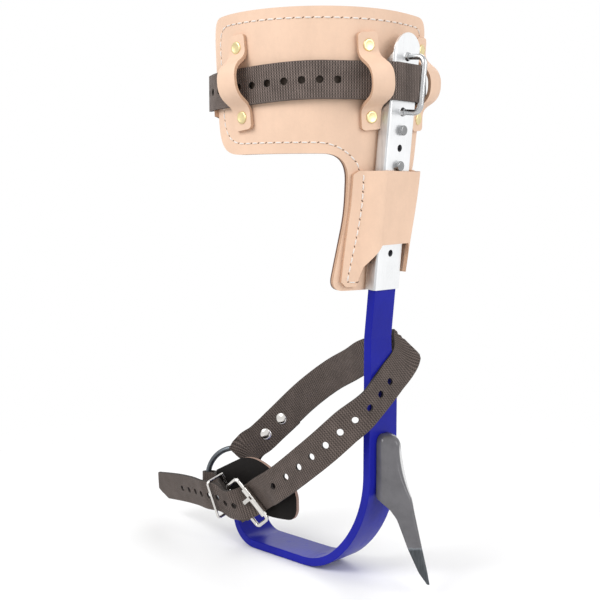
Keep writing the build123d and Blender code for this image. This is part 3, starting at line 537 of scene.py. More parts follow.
def leather_finish(name, colour, edge=False, contrast=1.0, roughness=0.55, gloss=0.35, shaded=None):
    """Vegetable-tanned leather: soft mottling, faint pores and creases; a raw edge shows fibres instead.

    shaded is the height in metres of a band of painted shadow, nearly black, under a strap.
    """
    material, wire, shader = new_material(name)
    place = object_places(wire)
    cloud = place.noise(34.0, 4.0, 0.6)
    freckle = place.noise(420.0, 3.0, 0.6)
    if edge:
        fibre = place.stretched(1.0, 1.0, 3.0).noise(900.0, 4.0, 0.7)
        shade = cloud * 0.35 + fibre * 0.65
        tone = shade.between(0.3, 0.7).mix(rgba(colour, 0.72), rgba(colour, 1.12))
        normal = wire.bump(fibre * 0.00025)
        feed(wire, shader, {"Roughness": 0.75}, {"Base Color": tone, "Normal": normal})
        return material
    streak = place.stretched(1.0, 1.0, 0.25).noise(70.0, 4.0, 0.6)
    shade = cloud * 0.45 + streak * 0.4 + freckle * 0.15
    tone = shade.between(0.34, 0.66).mix(rgba(colour, 1 - 0.07 * contrast), rgba(colour, 1 + 0.03 * contrast))
    pores = place.cells(1700.0)
    pit = 1 - pores.between(0.05, 0.4)
    crease = place.noise(150.0, 5.0, 0.62)
    tone = (pit * 0.09 * contrast).mix(tone, rgba(colour, 0.5))
    # Painted shadow: a dark band on the pad where the calf strap lies over it
    if shaded is not None:
        off = (place.axes()[2] - shaded).absolute()
        tone = (1 - off.between(0.0075, 0.011)).mix(tone, rgba(colour, 0.1))
    height = crease * 0.00012 - pit * 0.00003 + freckle * 0.00004
    rough = roughness + (cloud - 0.5) * 0.22 + pit * 0.1
    fixed = {"Specular IOR Level": gloss}
    feed(wire, shader, fixed, {"Base Color": tone, "Roughness": rough, "Normal": wire.bump(height)})
    return material


def webbing_finish(name, colour, light):
    """Woven webbing on its flat (s, w) map in millimetres: cross ribs, each broken into yarns, with paler crowns."""
    material, wire, shader = new_material(name)
    flat = wire.make("ShaderNodeUVMap", {"uv_map": "flat"})
    s, w, _ = flat.axes()
    wander = flat.noise(0.3, 2.0)
    rib = (s * (2 * np.pi / 1.85) + wander * 1.6).sine()
    yarn = (w * (2 * np.pi / 1.9) + wander * 2.0).sine()
    crown = (rib * 0.45 + rib * yarn * 0.55) * 0.5 + 0.5
    height = crown * 0.0004
    fleck = flat.noise(1.6, 3.0, 0.7)
    worn = flat.noise(0.09, 3.0, 0.6)
    shade = crown * 0.75 + (fleck - 0.5) * 0.7 + (worn - 0.5) * 0.35
    tone = shade.between(0.05, 0.85).mix(rgba(colour), rgba(light))
    fixed = {"Roughness": 0.6, "Specular IOR Level": 0.2}
    feed(wire, shader, fixed, {"Base Color": tone, "Normal": wire.bump(height)})
    return material


def webbing_edge_finish(name, colour):
    """Selvedge and punched edges of webbing: darker, with short fuzz."""
    material, wire, shader = new_material(name)
    place = object_places(wire)
    fuzz = place.noise(1400.0, 3.0, 0.7)
    tone = fuzz.between(0.3, 0.7).mix(rgba(colour, 0.55), rgba(colour, 1.1))
    feed(wire, shader, {"Roughness": 0.85}, {"Base Color": tone, "Normal": wire.bump(fuzz * 0.0002)})
    return material

# Make every piece in order.

def blue_paint_finish(name, colour, holes):
    """Gloss enamel on bent bar: slight orange peel, cloudier and a little rubbed low on the stirrup.

    holes are (y, z) places in metres where dark spots of painted shade are put on the bar, behind the sleeve's open
    holes.
    """
    material, wire, shader = new_material(name)
    place = object_places(wire)
    peel = place.noise(330.0, 2.0, 0.5)
    cloud = place.noise(26.0, 4.0, 0.6)
    scuff = place.noise(95.0, 5.0, 0.7)
    _, y, z = place.axes()
    low = 1 - z.between(-0.004, 0.05)
    rub = scuff.between(0.56, 0.68) * (low * 0.5 + 0.06)
    tone = cloud.between(0.3, 0.7).mix(rgba(colour, 0.9), rgba(colour, 1.1))
    tone = (rub * 0.5).mix(tone, rgba(colour, 1.9))
    # Painted shade: a dark spot on the bar behind each of the sleeve's open holes, for the shade inside the hole
    for across, height in holes:
        away = ((y - across) ** 2.0 + (z - height) ** 2.0) ** 0.5
        tone = (1 - away.between(0.0048, 0.0056)).mix(tone, rgba(PAINTED_HOLE_SHADE))
    rough = 0.3 + (cloud - 0.5) * 0.12 + rub * 0.3
    fixed = {"Specular IOR Level": 0.12}
    feed(wire, shader, fixed, {"Base Color": tone, "Roughness": rough, "Normal": wire.bump(peel * 0.00006)})
    return material


def gaff_finish(name, paint, steel):
    """Forged gaff: satin grey paint with a cast texture, and a bare, ground steel point below a ragged line.

    The rear half of the hollow on the medial face gets a painted highlight, pale and partly metallic.
    """
    material, wire, shader = new_material(name)
    place = object_places(wire)
    x, y, z = place.axes()
    ragged = place.noise(300.0, 3.0, 0.6)
    line = z + (ragged - 0.5) * 0.003
    bare = 1 - line.between(0.0262, 0.0272)
    rim = line.between(0.0252, 0.0262) * (1 - line.between(0.0268, 0.0276))
    grain = place.noise(1100.0, 3.0, 0.6)
    cloud = place.noise(60.0, 4.0, 0.6)
    coat = cloud.between(0.3, 0.7).mix(rgba(paint, 0.86), rgba(paint, 1.14))
    ground = place.stretched(6.0, 6.0, 0.6).noise(160.0, 3.0, 0.6).between(0.3, 0.7)
    metal = ground.mix(rgba(steel, 0.17), rgba(steel, 0.26))
    medial = 0.0851 + (1 - z.between(0.076, 0.100)) * 0.0046 + (1 - z.between(0.056, 0.076)) * 0.0080
    # Painted highlight: the rear half of the hollow on the medial face is painted pale
    hollow = z.between(0.056, 0.064) * (1 - z.between(0.092, 0.102)) * y.between(-0.0004, 0.0008)
    highlight_mask = hollow * (x - medial + (ragged - 0.5) * 0.002).between(-0.0042, -0.0030)
    tone = (rim * 0.3).mix(bare.mix(coat, metal), rgba(steel, 1.2))
    tone = (highlight_mask * (0.6 + grain * 0.4)).mix(tone, rgba(PAINTED_HIGHLIGHT))
    rough = 0.22 + (grain - 0.5) * 0.12 + bare * 0.16
    height = grain * 0.00008 + cloud * 0.0002
    metallic = bare * 0.5 + highlight_mask * 0.3 + 0.1
    varying = {"Base Color": tone, "Roughness": rough, "Metallic": metallic, "Normal": wire.bump(height)}
    feed(wire, shader, {}, varying)
    return material


def metal_finish(name, colour, roughness, mottling, dent=0.00002):
    """Bare or plated metal: clouded reflectance, a fine grain and faint handling marks."""
    material, wire, shader = new_material(name)
    place = object_places(wire)
    grain = place.noise(220.0, 4.0, 0.6)
    cloud = place.noise(70.0, 4.0, 0.6)
    mark = place.noise(260.0, 5.0, 0.75).between(0.6, 0.72)
    shade = cloud * 0.6 + grain * 0.4
    tone = shade.between(0.34, 0.66).mix(rgba(colour, 1 - mottling), rgba(colour, 1 + 0.5 * mottling))
    rough = roughness + (grain - 0.5) * 0.16 + (cloud - 0.5) * 0.1 + mark * 0.08
    normal = wire.bump(grain * dent + cloud * dent)
    feed(wire, shader, {"Metallic": 1.0}, {"Base Color": tone, "Roughness": rough, "Normal": normal})
    return material


def sleeve_finish(name, colour):
    """Zinc-plated tube: a pale, finely streaked front, and sides past the front's rounded edges that are a little
    rougher and painted darker as shade.
    """
    material, wire, shader = new_material(name)
    place = object_places(wire)
    line = place.stretched(5.0, 5.0, 0.25).noise(260.0, 4.0, 0.6)
    cloud = place.noise(45.0, 4.0, 0.6)
    _, y, _ = place.axes()
    edge = SLEEVE_WIDTH / 2
    side = (y - PAD_MIDDLE * MM).absolute().between((edge - 1.4) * MM, (edge - 0.5) * MM)
    shade = cloud * 0.6 + line * 0.4
    front = shade.between(0.34, 0.66).mix(rgba(colour, 0.95), rgba(colour, 1.02))
    # Painted shade: the sides are a darker copy of the front's plating
    shaded_side = shade.between(0.34, 0.66).mix(rgba(colour, 0.5), rgba(colour, 0.66))
    rough = 0.3 + (line - 0.5) * 0.14 + (cloud - 0.5) * 0.08 + side * 0.06
    varying = {"Base Color": side.mix(front, shaded_side), "Roughness": rough, "Normal": wire.bump(line * 0.00002)}
    feed(wire, shader, {"Metallic": 1.0}, varying)
    return material


def thread_finish(name, colour):
    """Waxed thread: a twist of fine plies seen as slanting streaks."""
    material, wire, shader = new_material(name)
    place = object_places(wire)
    ply = place.stretched(1.0, 1.0, 2.0).noise(2600.0, 2.0)
    tone = ply.between(0.35, 0.65).mix(rgba(colour, 0.78), rgba(colour, 1.1))
    feed(wire, shader, {"Roughness": 0.6}, {"Base Color": tone, "Normal": wire.bump(ply * 0.0002)})
    return material


def length_property(name, description, default):
    """A length in metres that a user would change."""
    return FloatProperty(name=name, description=description, default=default, unit="LENGTH")


class ClimberSizes(PropertyGroup):
    """Sizes of the leather, webbing, sewing and rivets."""

    leather: length_property("Pad leather", "Thickness of the pad", 0.0032)
    lining: length_property("Lining", "Thickness of the pad's lining", 0.0024)
    pouch: length_property("Pouch leather", "Thickness of the pouch", 0.0026)
    tab: length_property("Tab leather", "Thickness of the strap tabs", 0.0026)
    tab_width: length_property("Tab width", "Width of the strap tabs", 0.016)
    shield: length_property("Shield leather", "Thickness of the shield", 0.003)
    webbing: length_property("Webbing", "Thickness of the straps", 0.0019)
    width: length_property("Strap width", "Width of the straps", 0.0254)
    hole: length_property("Strap hole", "Diameter of a strap hole", 0.005)
    hole_pitch: length_property("Hole pitch", "Distance between strap holes", 0.012)
    stitch: length_property("Stitch", "Length of a stitch with its gap", 0.0063)
    thread: length_property("Thread", "Radius of the thread", 0.00052)
    margin: length_property("Stitch margin", "Stitches to the pad's edge", 0.0074)
    rivet: length_property("Rivet", "Diameter of a brass rivet", 0.0086)


def colour_property(name, description, default):
    """A colour that a user would change."""
    return FloatVectorProperty(name=name, description=description, default=default, subtype="COLOR", min=0, max=1)


class ClimberColours(PropertyGroup):
    """Colours of the finishes, in linear light."""

    leather: colour_property("Leather", "Pad, pouch and tabs", (0.81, 0.57, 0.42))
    edge: colour_property("Leather edge", "Cut edge of the leather", (0.60, 0.37, 0.24))
    lining: colour_property("Lining", "Inside of the pad", (0.13, 0.062, 0.04))
    shield: colour_property("Shield", "Shield behind the ankle buckle", (0.010, 0.0085, 0.008))
    shield_edge: colour_property("Shield edge", "Cut edge of the shield", (0.40, 0.26, 0.20))
    webbing: colour_property("Webbing", "Hollows of the straps", (0.030, 0.023, 0.019))
    webbing_light: colour_property("Webbing crowns", "Raised yarns of the straps", (0.27, 0.21, 0.185))
    blue: colour_property("Blue paint", "Leg iron", (0.011, 0.014, 0.29))
    gaff: colour_property("Gaff paint", "Painted part of the gaff", (0.115, 0.112, 0.12))
    steel: colour_property("Bare steel", "Point of the gaff and the ring", (0.28, 0.31, 0.34))
    plate: colour_property("Zinc plate", "Sleeve, screws and wire loop", (0.92, 0.93, 0.94))
    nickel: colour_property("Nickel", "Buckles, keepers and strap rivets", (0.70, 0.68, 0.65))
    brass: colour_property("Brass", "Pad rivets", (0.78, 0.66, 0.36))
    thread: colour_property("Thread", "Sewing of the pad and pouch", (0.90, 0.85, 0.81))
    floor: colour_property("Floor", "Floor and backdrop", (0.95, 0.95, 0.95))


def sizes():
    """The sizes in millimetres."""
    group = bpy.context.scene.climber_sizes
    return {key: getattr(group, key) / MM for key in ClimberSizes.__annotations__}


def colours():
    """The colours as tuples."""
    group = bpy.context.scene.climber_colours
    return {key: tuple(getattr(group, key)) for key in ClimberColours.__annotations__}


def finish_of(name, maker, *values, **options):
    """The named finish, made the first time it is asked for."""
    return bpy.data.materials.get(name) or maker(name, *values, **options)


def tan_leather():
    """Finishes of a tan leather face and its cut edge."""
    colour = colours()
    face = finish_of("tan_hide", leather_finish, colour["leather"])
    return [face, finish_of("tan_edge", leather_finish, colour["edge"], edge=True)]


def strap_webbing(body):
    """Finishes of a webbing face and its edge; the straps on the iron get a darker copy of the webbing as painted
    shade, darker than the one on the sleeve.
    """
    colour = colours()
    name, light = "woven_webbing", colour["webbing_light"]
    # Painted shade: the straps at the ankle are a darker copy of the same webbing
    if body == "iron_body":
        name, light = "worn_webbing", rgba(light, ANKLE_SHADE_SHARE)
    face = finish_of(name, webbing_finish, colour["webbing"], light)
    return [face, finish_of("woven_edge", webbing_edge_finish, colour["webbing"])]


def sewing():
    """Finishes of the thread and its awl holes."""
    thread = finish_of("thread", thread_finish, colours()["thread"])
    return thread, finish_of("awl_hole", leather_finish, AWL_SHADOW, edge=True)


def paint_nodes(material, *nodes):
    """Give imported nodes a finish."""
    for node in nodes:
        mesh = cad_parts[node].data
        mesh.materials.clear()
        mesh.materials.append(material)


class CLIMBER_OT_metalwork(Operator):
    """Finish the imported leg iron, sleeve, screws, wire, ring and buckles"""

    bl_idname = "climber.metalwork"
    bl_label = "Metalwork"

    def execute(self, context):
        colour = colours()
        # Places of the painted shade on the bar behind the sleeve's open holes
        holes = [((PAD_MIDDLE + HOLE_SHADE_SHIFT) * MM, (SLEEVE_FOOT + h * np.cos(LEAN)) * MM) for h in OPEN_HOLES]
        paint_nodes(blue_paint_finish("blue_enamel", colour["blue"], holes), "leg_iron")
        paint_nodes(sleeve_finish("zinc_tube", colour["plate"]), "sleeve")
        screws = metal_finish("zinc_screws", rgba(colour["plate"], 0.32), 0.25, mottling=0.2)
        paint_nodes(screws, "height_screws", "gaff_screws")
        loop = metal_finish("zinc_wire", rgba(colour["plate"], 0.55), 0.24, mottling=0.1)
        paint_nodes(loop, "strap_loop")
        nickel = metal_finish("bright_nickel", colour["nickel"], 0.17, mottling=0.08)
        buckles = ("calf_buckle_frame", "calf_buckle_roller", "calf_buckle_tongue", "calf_keeper")
        paint_nodes(nickel, *buckles, *(name.replace("calf", "ankle") for name in buckles))
        ring = metal_finish("forged_ring", rgba(colour["steel"], 0.45), 0.34, mottling=0.25, dent=0.00008)
        paint_nodes(ring, "stirrup_ring")
        return {"FINISHED"}


# Level sections of the gaff: height, back, side and ridge out from the shank, half width, half width of the ridge
GAFF_LEVELS = np.array(
    [
        (105.0, 0.1, 4.6, 10.2, 7.4, 2.2),
        (99.0, 0.1, 5.6, 14.1, 8.8, 2.0),
        (60.0, 0.1, 7.6, 25.6, 8.8, 1.5),
        (58.0, 0.1, 8.4, 26.0, 8.8, 1.5),
        (52.0, 12.6, 14.6, 27.4, 8.4, 1.4),
        (46.0, 18.6, 20.2, 29.1, 8.0, 1.3),
        (26.0, 27.1, 28.1, 35.0, 6.0, 1.0),
        (10.0, 35.1, 35.7, 39.9, 3.6, 0.8),
        (2.2, 40.4, 40.7, 41.9, 0.9, 0.4),
    ]
)
GAFF_TOP, GAFF_TIP = GAFF_LEVELS[0, 0], GAFF_LEVELS[-1, 0]
GAFF_TOP_ROUND = 4.5
GAFF_ROUNDS = np.array([0.8, 1.8, 1.2, 1.2, 1.8, 0.8])
SCOOP_RADIUS = 72.0
SCOOP_OUT, SCOOP_HEIGHT = 86.07, 99.72
SCOOP_FOOT = 55.0


def gaff_levels():
    """The gaff's sections at even heights: straight between the given ones, then averaged over a few millimetres.

    A round scoop cuts the ridge back and widens it; the top is drawn in as a quarter round.
    """
    z = np.linspace(GAFF_TOP, GAFF_TIP, 130)
    parts = np.stack([np.interp(-z, -GAFF_LEVELS[:, 0], column) for column in GAFF_LEVELS[:, 1:].T])
    weight = np.hanning(9)[1:-1] / np.hanning(9)[1:-1].sum()
    even = np.stack([np.convolve(np.pad(part, 3, "edge"), weight, "valid") for part in parts])
    share = np.clip(np.minimum(GAFF_TOP - z, z - GAFF_TIP) / 5.0, 0, 1)
    back, side, ridge, half, narrow = parts + (even - parts) * share
    scoop = SCOOP_OUT - np.sqrt(np.clip(SCOOP_RADIUS**2 - (z - SCOOP_HEIGHT) ** 2, 0, None))
    scoop = np.where(z > SCOOP_FOOT, scoop, 99.0)
    cut = np.clip((scoop - side) / (ridge - side), 0, 1)
    narrow = np.where(cut < 1, half + (narrow - half) * cut, narrow)
    ridge = np.minimum(ridge, scoop)
    above = np.clip(z - (GAFF_TOP - GAFF_TOP_ROUND), 0, GAFF_TOP_ROUND - 0.05)
    inset = GAFF_TOP_ROUND - np.sqrt(GAFF_TOP_ROUND**2 - above**2)
    return z, back, side - 0.4 * inset, ridge - inset, half - inset, np.maximum(narrow - inset, 0.6)


class CLIMBER_OT_gaff(Operator):
    """Make the forged gaff with its scooped block and ground point"""

    bl_idname = "climber.gaff"
    bl_label = "Gaff"

    def execute(self, context):
        colour = colours()
        z, back, side, ridge, half, narrow = gaff_levels()
        corners = [(back, -half), (side, -half), (ridge, -narrow), (ridge, narrow), (side, half), (back, half)]
        corners = np.stack([np.stack(corner, -1) for corner in corners], axis=1)
        before, after = np.roll(corners, 1, axis=1) - corners, np.roll(corners, -1, axis=1) - corners
        long_before, long_after = np.linalg.norm(before, axis=-1), np.linalg.norm(after, axis=-1)
        cut = np.minimum(GAFF_ROUNDS, 0.45 * np.minimum(long_before, long_after))
        start = corners + before * (cut / long_before)[..., None]
        end = corners + after * (cut / long_after)[..., None]
        t = np.linspace(0, 1, 7)[None, None, :, None]
        ring = parabola(start[:, :, None], corners[:, :, None], end[:, :, None], t).reshape(len(z), -1, 2)
        ring = np.concatenate([np.broadcast_to(ring[:1].mean(axis=1, keepdims=True), ring[:1].shape), ring])
        ring = np.concatenate([ring, np.broadcast_to(ring[-1:].mean(axis=1, keepdims=True), ring[-1:].shape)])
        height = np.broadcast_to(np.concatenate([z[:1], z, z[-1:]])[:, None], ring.shape[:2])
        points = np.stack([SHANK_OUTER + ring[..., 0], ring[..., 1], height], -1)
        middle = points.mean(axis=1, keepdims=True)
        faces = grid_faces(*ring.shape[:2], wrap=True)
        finish = gaff_finish("forged_finish", colour["gaff"], colour["steel"])
        outward = (points - middle).reshape(-1, 3)
        gaff = add_piece("forged_gaff", points, faces, outward, "iron_body", [finish])
        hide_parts("gaff")
        return {"FINISHED"}


PAD_LOWER = (
    rounded([(-148.5, 334, 0), (-144.5, PAD_LOW, 26), (-112.0, PAD_LOW, 0)]),
    np.array([(-112.0, PAD_LOW), (-58.0, PAD_LOW)]),
    rounded([(-58.0, PAD_LOW, 0), (-34.2, PAD_LOW, 19), (-33.3, 279.0, 0)]),
    rounded([(-33.3, 279.0, 0), (-32.6, 264.0, 13), (-41.2, PAD_FOOT, 10), (-29.0, PAD_FOOT, 0)]),
)
PAD_UPPER = (
    rounded([(-156.0, 382.0, 0), (-157.6, PAD_TOP, 15), (-121.0, PAD_TOP, 0)]),
    np.array([(-121.0, PAD_TOP), (-34.0, PAD_TOP)]),
    rounded([(-34.0, PAD_TOP, 0), (36.5, PAD_TOP, 13), (38.5, 330.0, 18), (36.5, 296.0, 9), (31.0, 284.0, 0)]),
    rounded([(31.0, 284.0, 0), (25.0, 256.0, 14), (17.5, PAD_FOOT, 8), (8.0, PAD_FOOT, 0)]),
)
PAD_COUNTS = (26, 46, 84, 48)


def pad_sheet(depth):
    """Flat grid of the pad, carried along the L of its band and tail, and its points at a depth."""
    flat = patch(chained(PAD_LOWER, PAD_COUNTS), chained(PAD_UPPER, PAD_COUNTS), 41)
    return flat, pad_place(flat, depth)


def pad_seam(margin):
    """Line of the pad's sewing inside its edge: up the rear, round the front and down into the notch."""
    top, low = PAD_TOP - margin, PAD_LOW + margin
    front, rear = -157.0 + 1.7 * margin, PAD_REAR_REACH - margin
    behind = [(rear - 3.0, 294.0, 0), (rear - 1.6, 330.0, 20), (rear, top, 9)]
    ahead = [(front, top, 14), (front + 9.0, low, 22)]
    notch = [(-50.0 + margin, low, 16), (-33.0 + margin, 296.0, 4.8), (-33.0 + margin, 291.0, 0)]
    return rounded(behind + ahead + notch)


class CLIMBER_OT_calf_pad(Operator):
    """Make the curved leather calf pad, its lining and the sewing round its edge"""

    bl_idname = "climber.calf_pad"
    bl_label = "Calf pad"

    def execute(self, context):
        size, colour = sizes(), colours()
        flat, points = pad_sheet(0.0)
        outward = ((points - [PAD_AXIS, PAD_MIDDLE, 0]) * [1, 1, 0]).reshape(-1, 3)
        faces = grid_faces(*flat.shape[:2])
        hide = leather_finish("pad_hide", colour["leather"], shaded=STRAP_LEVEL * MM)
        finishes = [hide, tan_leather()[1]]
        pad = add_piece("calf_pad", points, faces, outward, "sleeve_body", finishes, flat)
        thicken(pad, size["leather"], 0.8)
        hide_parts("pad_leather")
        brown = finish_of("brown_lining", leather_finish, colour["lining"], contrast=1.4, roughness=0.7)
        flat, points = pad_sheet(size["leather"] + PAD_GAP)
        finishes = [brown, brown]
        lining = add_piece("calf_pad_lining", points, faces, outward, "sleeve_body", finishes, flat)
        thicken(lining, size["lining"], 0.5)
        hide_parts("pad_lining")
        thread, awl = sewing()
        seam = pad_seam(size["margin"])
        stitches("pad_stitches", seam, pad_place, "sleeve_body", thread, size["stitch"], size["thread"])
        stitch_holes("pad_stitch_holes", seam, pad_place, "sleeve_body", awl, size["stitch"])
        return {"FINISHED"}


POUCH_TOP = 292.6
POUCH_FOOT = 212.6
POUCH_WINDOW = 241.5
POUCH_GRID = (97, 61)
POUCH_FRONT = -36.6
POUCH_WIDTH = 55.6
POCKET_FRONT = PAD_MIDDLE - SLEEVE_WIDTH / 2 - SLACK
POCKET_REAR = PAD_MIDDLE + SLEEVE_WIDTH / 2 + SLACK

# Shares of the pouch's height with the y of its front or rear edge there, and the lines of its sewing
POUCH_FRONT_EDGE = ((0, 0.35, 0.7, 1), (-38.6, -37.4, -35.4, -35.2))
POUCH_REAR_EDGE = ((0, 0.3, 1), (15.0, 21.0, 30.0))
POUCH_SEAMS = (
    ("pouch_front", rounded([(-28.0, 291.0, 0), (-27.4, 262.0, 16), (-34.4, 216.0, 2), (-22.0, 215.6, 0)])),
    ("pouch_rear", rounded([(22.6, 290.0, 0), (20.0, 262.0, 8), (15.0, 232.0, 0)])),
)


def pouch_place(flat, depth):
    """Point of the pouch's outer face from (y, z).

    The flanges lie on the pad; between two smooth steps beside the sleeve the face rises to the sleeve's own front.
    The rear step stands further back towards the top.
    """
    y, z = flat[..., 0], flat[..., 1]
    thick = sizes()["pouch"]
    across = np.where(y > PAD_MIDDLE, PAD_REAR_ROUND, PAD_ROUND)
    pad = PAD_AXIS + pad_reach(z) * np.sqrt(1 - ((y - PAD_MIDDLE) / across) ** 2) + SLACK
    flare = 2.2 + 6.6 * smooth(POUCH_FOOT, POUCH_TOP, z)
    rise = smooth(POCKET_FRONT - 10.5, POCKET_FRONT + 0.8, y)
    rise = rise * (1 - smooth(POCKET_REAR + flare - 1.0, POCKET_REAR + flare + 6.5, y))
    x = pad + (sleeve_front(z) + SLACK - pad) * rise + thick
    return np.stack([x - depth, y + 0 * x, z + 0 * x], -1)


class CLIMBER_OT_pouch(Operator):
    """Make the leather pouch that is sewn over the sleeve"""

    bl_idname = "climber.pouch"
    bl_label = "Sleeve pouch"

    def execute(self, context):
        size = sizes()
        share = np.linspace(0, 1, POUCH_GRID[0])[:, None]
        rise = np.linspace(0, 1, POUCH_GRID[1])[None, :]
        middle = POUCH_FRONT + share * POUCH_WIDTH
        slope = [POCKET_FRONT - 6.6, POCKET_FRONT - 5.6, POCKET_FRONT + 0.4, POCKET_REAR - 0.4, POCKET_REAR + 4.5]
        foot = np.interp(middle, slope, [POUCH_FOOT, 226.0, POUCH_WINDOW, POUCH_WINDOW + 0.8, POUCH_FOOT + 9.0])
        foot = foot + 3.2 * (1 - smooth(0, 6, middle - middle[0])) ** 2
        top = POUCH_TOP - 2.5 * (1 - smooth(0, 5, middle - middle[0])) ** 2 + 1.8 * smooth(6, 20, middle)
        z = foot * (1 - rise) + top * rise
        level = (z - POUCH_FOOT) / (POUCH_TOP - POUCH_FOOT)
        front = np.interp(level, *POUCH_FRONT_EDGE)
        y = front + share * (np.interp(level, *POUCH_REAR_EDGE) - front)
        flat = np.stack([y, z], -1)
        points = pouch_place(flat, 0.0)
        faces = grid_faces(*POUCH_GRID)
        outward = (1.0, 0.0, 0.1)
        pouch = add_piece("sleeve_pouch", points, faces, outward, "sleeve_body", tan_leather(), flat)
        thicken(pouch, size["pouch"], 0.6)
        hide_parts("pouch")
        thread, awl = sewing()
        for name, line in POUCH_SEAMS:
            stitches(name + "_stitches", line, pouch_place, "sleeve_body", thread, size["stitch"], size["thread"])
            stitch_holes(name + "_stitch_holes", line, pouch_place, "sleeve_body", awl, size["stitch"])
        return {"FINISHED"}


TAB_PLACES = (("front", -90.0, 14.8, 0.0), ("middle", -18.5, 19.6, 0.0), ("rear", 16.5, 14.8, 2.0))
TAB_TILT = np.radians(6.5)
TAB_HALF, TAB_FOOT, TAB_NECK = 32.5, 18.0, 8.6
TAB_CORNER = 3.0
TAB_ROWS = 97
TAB_SAG = 0.010
TAB_SWELL = 0.08
RIVET_SPAN = 47.5


def tab_frame(angle, raised):
    """Middle, across, up and outward directions of a tab's seat on the pad's face; the tab leans a little forward."""
    turn = np.radians(angle)
    across = PAD_ROUND if angle < 0 else PAD_REAR_ROUND
    point = np.array([PAD_AXIS + PAD_ROUND * np.cos(turn), PAD_MIDDLE + across * np.sin(turn), STRAP_LEVEL])
    along = unit([-PAD_ROUND * np.sin(turn), across * np.cos(turn), 0])
    rise = unit([np.tan(LEAN) * np.cos(turn), 0, 1])
    out = unit(np.cross(along, rise))
    up = np.cross(out, along)
    leaning = up * np.cos(TAB_TILT) - along * np.sin(TAB_TILT)
    return point + up * raised, np.cross(leaning, out), leaning, out


class CLIMBER_OT_tabs(Operator):
    """Make the three leather tabs that hold the calf strap on the pad"""

    bl_idname = "climber.tabs"
    bl_label = "Strap tabs"

    def execute(self, context):
        size = sizes()
        seat = PAD_GAP + size["tab"]
        for name, angle, bulge, raised in TAB_PLACES:
            crown = bulge + size["tab"] / 2
            rising = [(-TAB_HALF, seat, 0), (-TAB_FOOT, seat, 4.8), (-TAB_NECK, crown, 8.0)]
            falling = [(-place, height, cut) for place, height, cut in rising[::-1]]
            line = resample(rounded(rising + falling), TAB_ROWS)
            run = np.linspace(0, run_of(line)[-1], TAB_ROWS)
            from_end = np.minimum(run, run[-1] - run)
            inset = np.clip(TAB_CORNER - from_end, 0, TAB_CORNER)
            half = size["tab_width"] / 2 - TAB_CORNER + np.sqrt(TAB_CORNER**2 - inset**2)
            w = np.linspace(-1, 1, 17)[None, :] * (half * (1 + TAB_SWELL * smooth(18, 34, from_end)))[:, None]
            flat = np.stack([w, np.broadcast_to(run[:, None], w.shape)], -1)
            point, along, up, out = tab_frame(angle, raised)
            sag = -TAB_SAG * w**2 * (from_end / from_end.max())[:, None]
            points = point + w[..., None] * along + line[:, None, :1] * up + (line[:, 1:] + sag)[..., None] * out
            faces = grid_faces(*w.shape)
            title = f"tab_{name}_leather"
            piece = add_piece(title, points, faces, out, "sleeve_body", tan_leather(), flat)
            thicken(piece, size["tab"], 0.6)
            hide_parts(f"tab_{name}")
        return {"FINISHED"}


def ankle_frame():
    """Origin of the ankle buckle's roller, and its along, down and outward directions."""
    out = unit([0.0725, -0.9496, -0.304])
    along = np.array([-0.7965, 0.1284, -0.591])
    along = unit(along - out * along.dot(out))
    return np.array([LATERAL + 39.2, -38.5, 44.1]), along, np.cross(out, along), out


RING_FACE = unit([0.379, -0.916, 0.128])
RING_RISE = unit([-0.406, -0.041, 0.912])
RING_SIDE = unit(np.cross(RING_RISE, RING_FACE))
RING_RADIUS = 24.75
RING_WIRE = 4.5
RING_MIDDLE = np.array([LATERAL - 3.175, -6.0, 21.0]) + RING_RISE * RING_RADIUS
FOLD_ANGLE = np.radians(45.0)
CHAPE_ANGLE = np.radians(160.0)
CHAPE_WIDTH = 22.0
CHAPE_SHARE = 0.8
CHAPE_DROP = 1.3


def at_ring(angle, radius, out):
    """Place beside the ring: an angle round it, a distance from its centre and a distance off its plane."""
    rise = np.cross(RING_FACE, RING_SIDE)
    return RING_MIDDLE + radius * (np.cos(angle) * RING_SIDE + np.sin(angle) * rise) + out * RING_FACE


def ring_tangent(angle):
    """Direction of the ring's wire at an angle round it."""
    return np.cross(RING_FACE, RING_SIDE) * np.cos(angle) - RING_SIDE * np.sin(angle)


def upright(points):
    """Across direction at each station: square to the run, with the strap's face upright."""
    points = np.asarray(points, float)
    padded = np.concatenate([points[:1], points, points[-1:]])
    along = unit(padded[2:] - padded[:-2])
    face = unit(np.cross(along, [0, 0, 1.0]))
    return np.cross(face, along)


def buckle_depths(webbing):
    """How deep a strap lies under a buckle's roller, and how high over its heel bar and the webbing folded there."""
    return ROLLER / 2 + SLACK + webbing / 2, BUCKLE_WIRE / 2 + SLACK + webbing + SLACK + webbing / 2


# Stations of the ankle strap: from the ring up behind the leg, down the front to the buckle, and its loose tail
ANKLE_REAR = np.array(
    [
        (LATERAL + 6.4, 5.6, 79.1),
        (LATERAL + 15.8, 13.0, 91.1),
        (LATERAL * 0.346, 19.0, 117.1),
        (SHANK_INNER * 0.109, 19.0, 137.8),
        (SHANK_INNER - 38.3, 15.0, 147.6),
        (SHANK_INNER - 20.6, 11.0, 156.7),
        (SHANK_INNER - 2.6, 18.5, 164.0),
    ]
)
ANKLE_FRONT = np.array(
    [
        (SHANK_INNER - 4.1, SHANK_FRONT - 15.0, 112.1),
        (SHANK_INNER - 15.7, SHANK_FRONT - 23.1, 98.8),
        (SHANK_INNER * 0.431, SHANK_FRONT - 26.6, 80.5),
        (SHANK_INNER * 0.215, SHANK_FRONT - 27.4, 69.4),
        (LATERAL + 64.0, SHANK_FRONT - 27.3, 58.7),
    ]
)
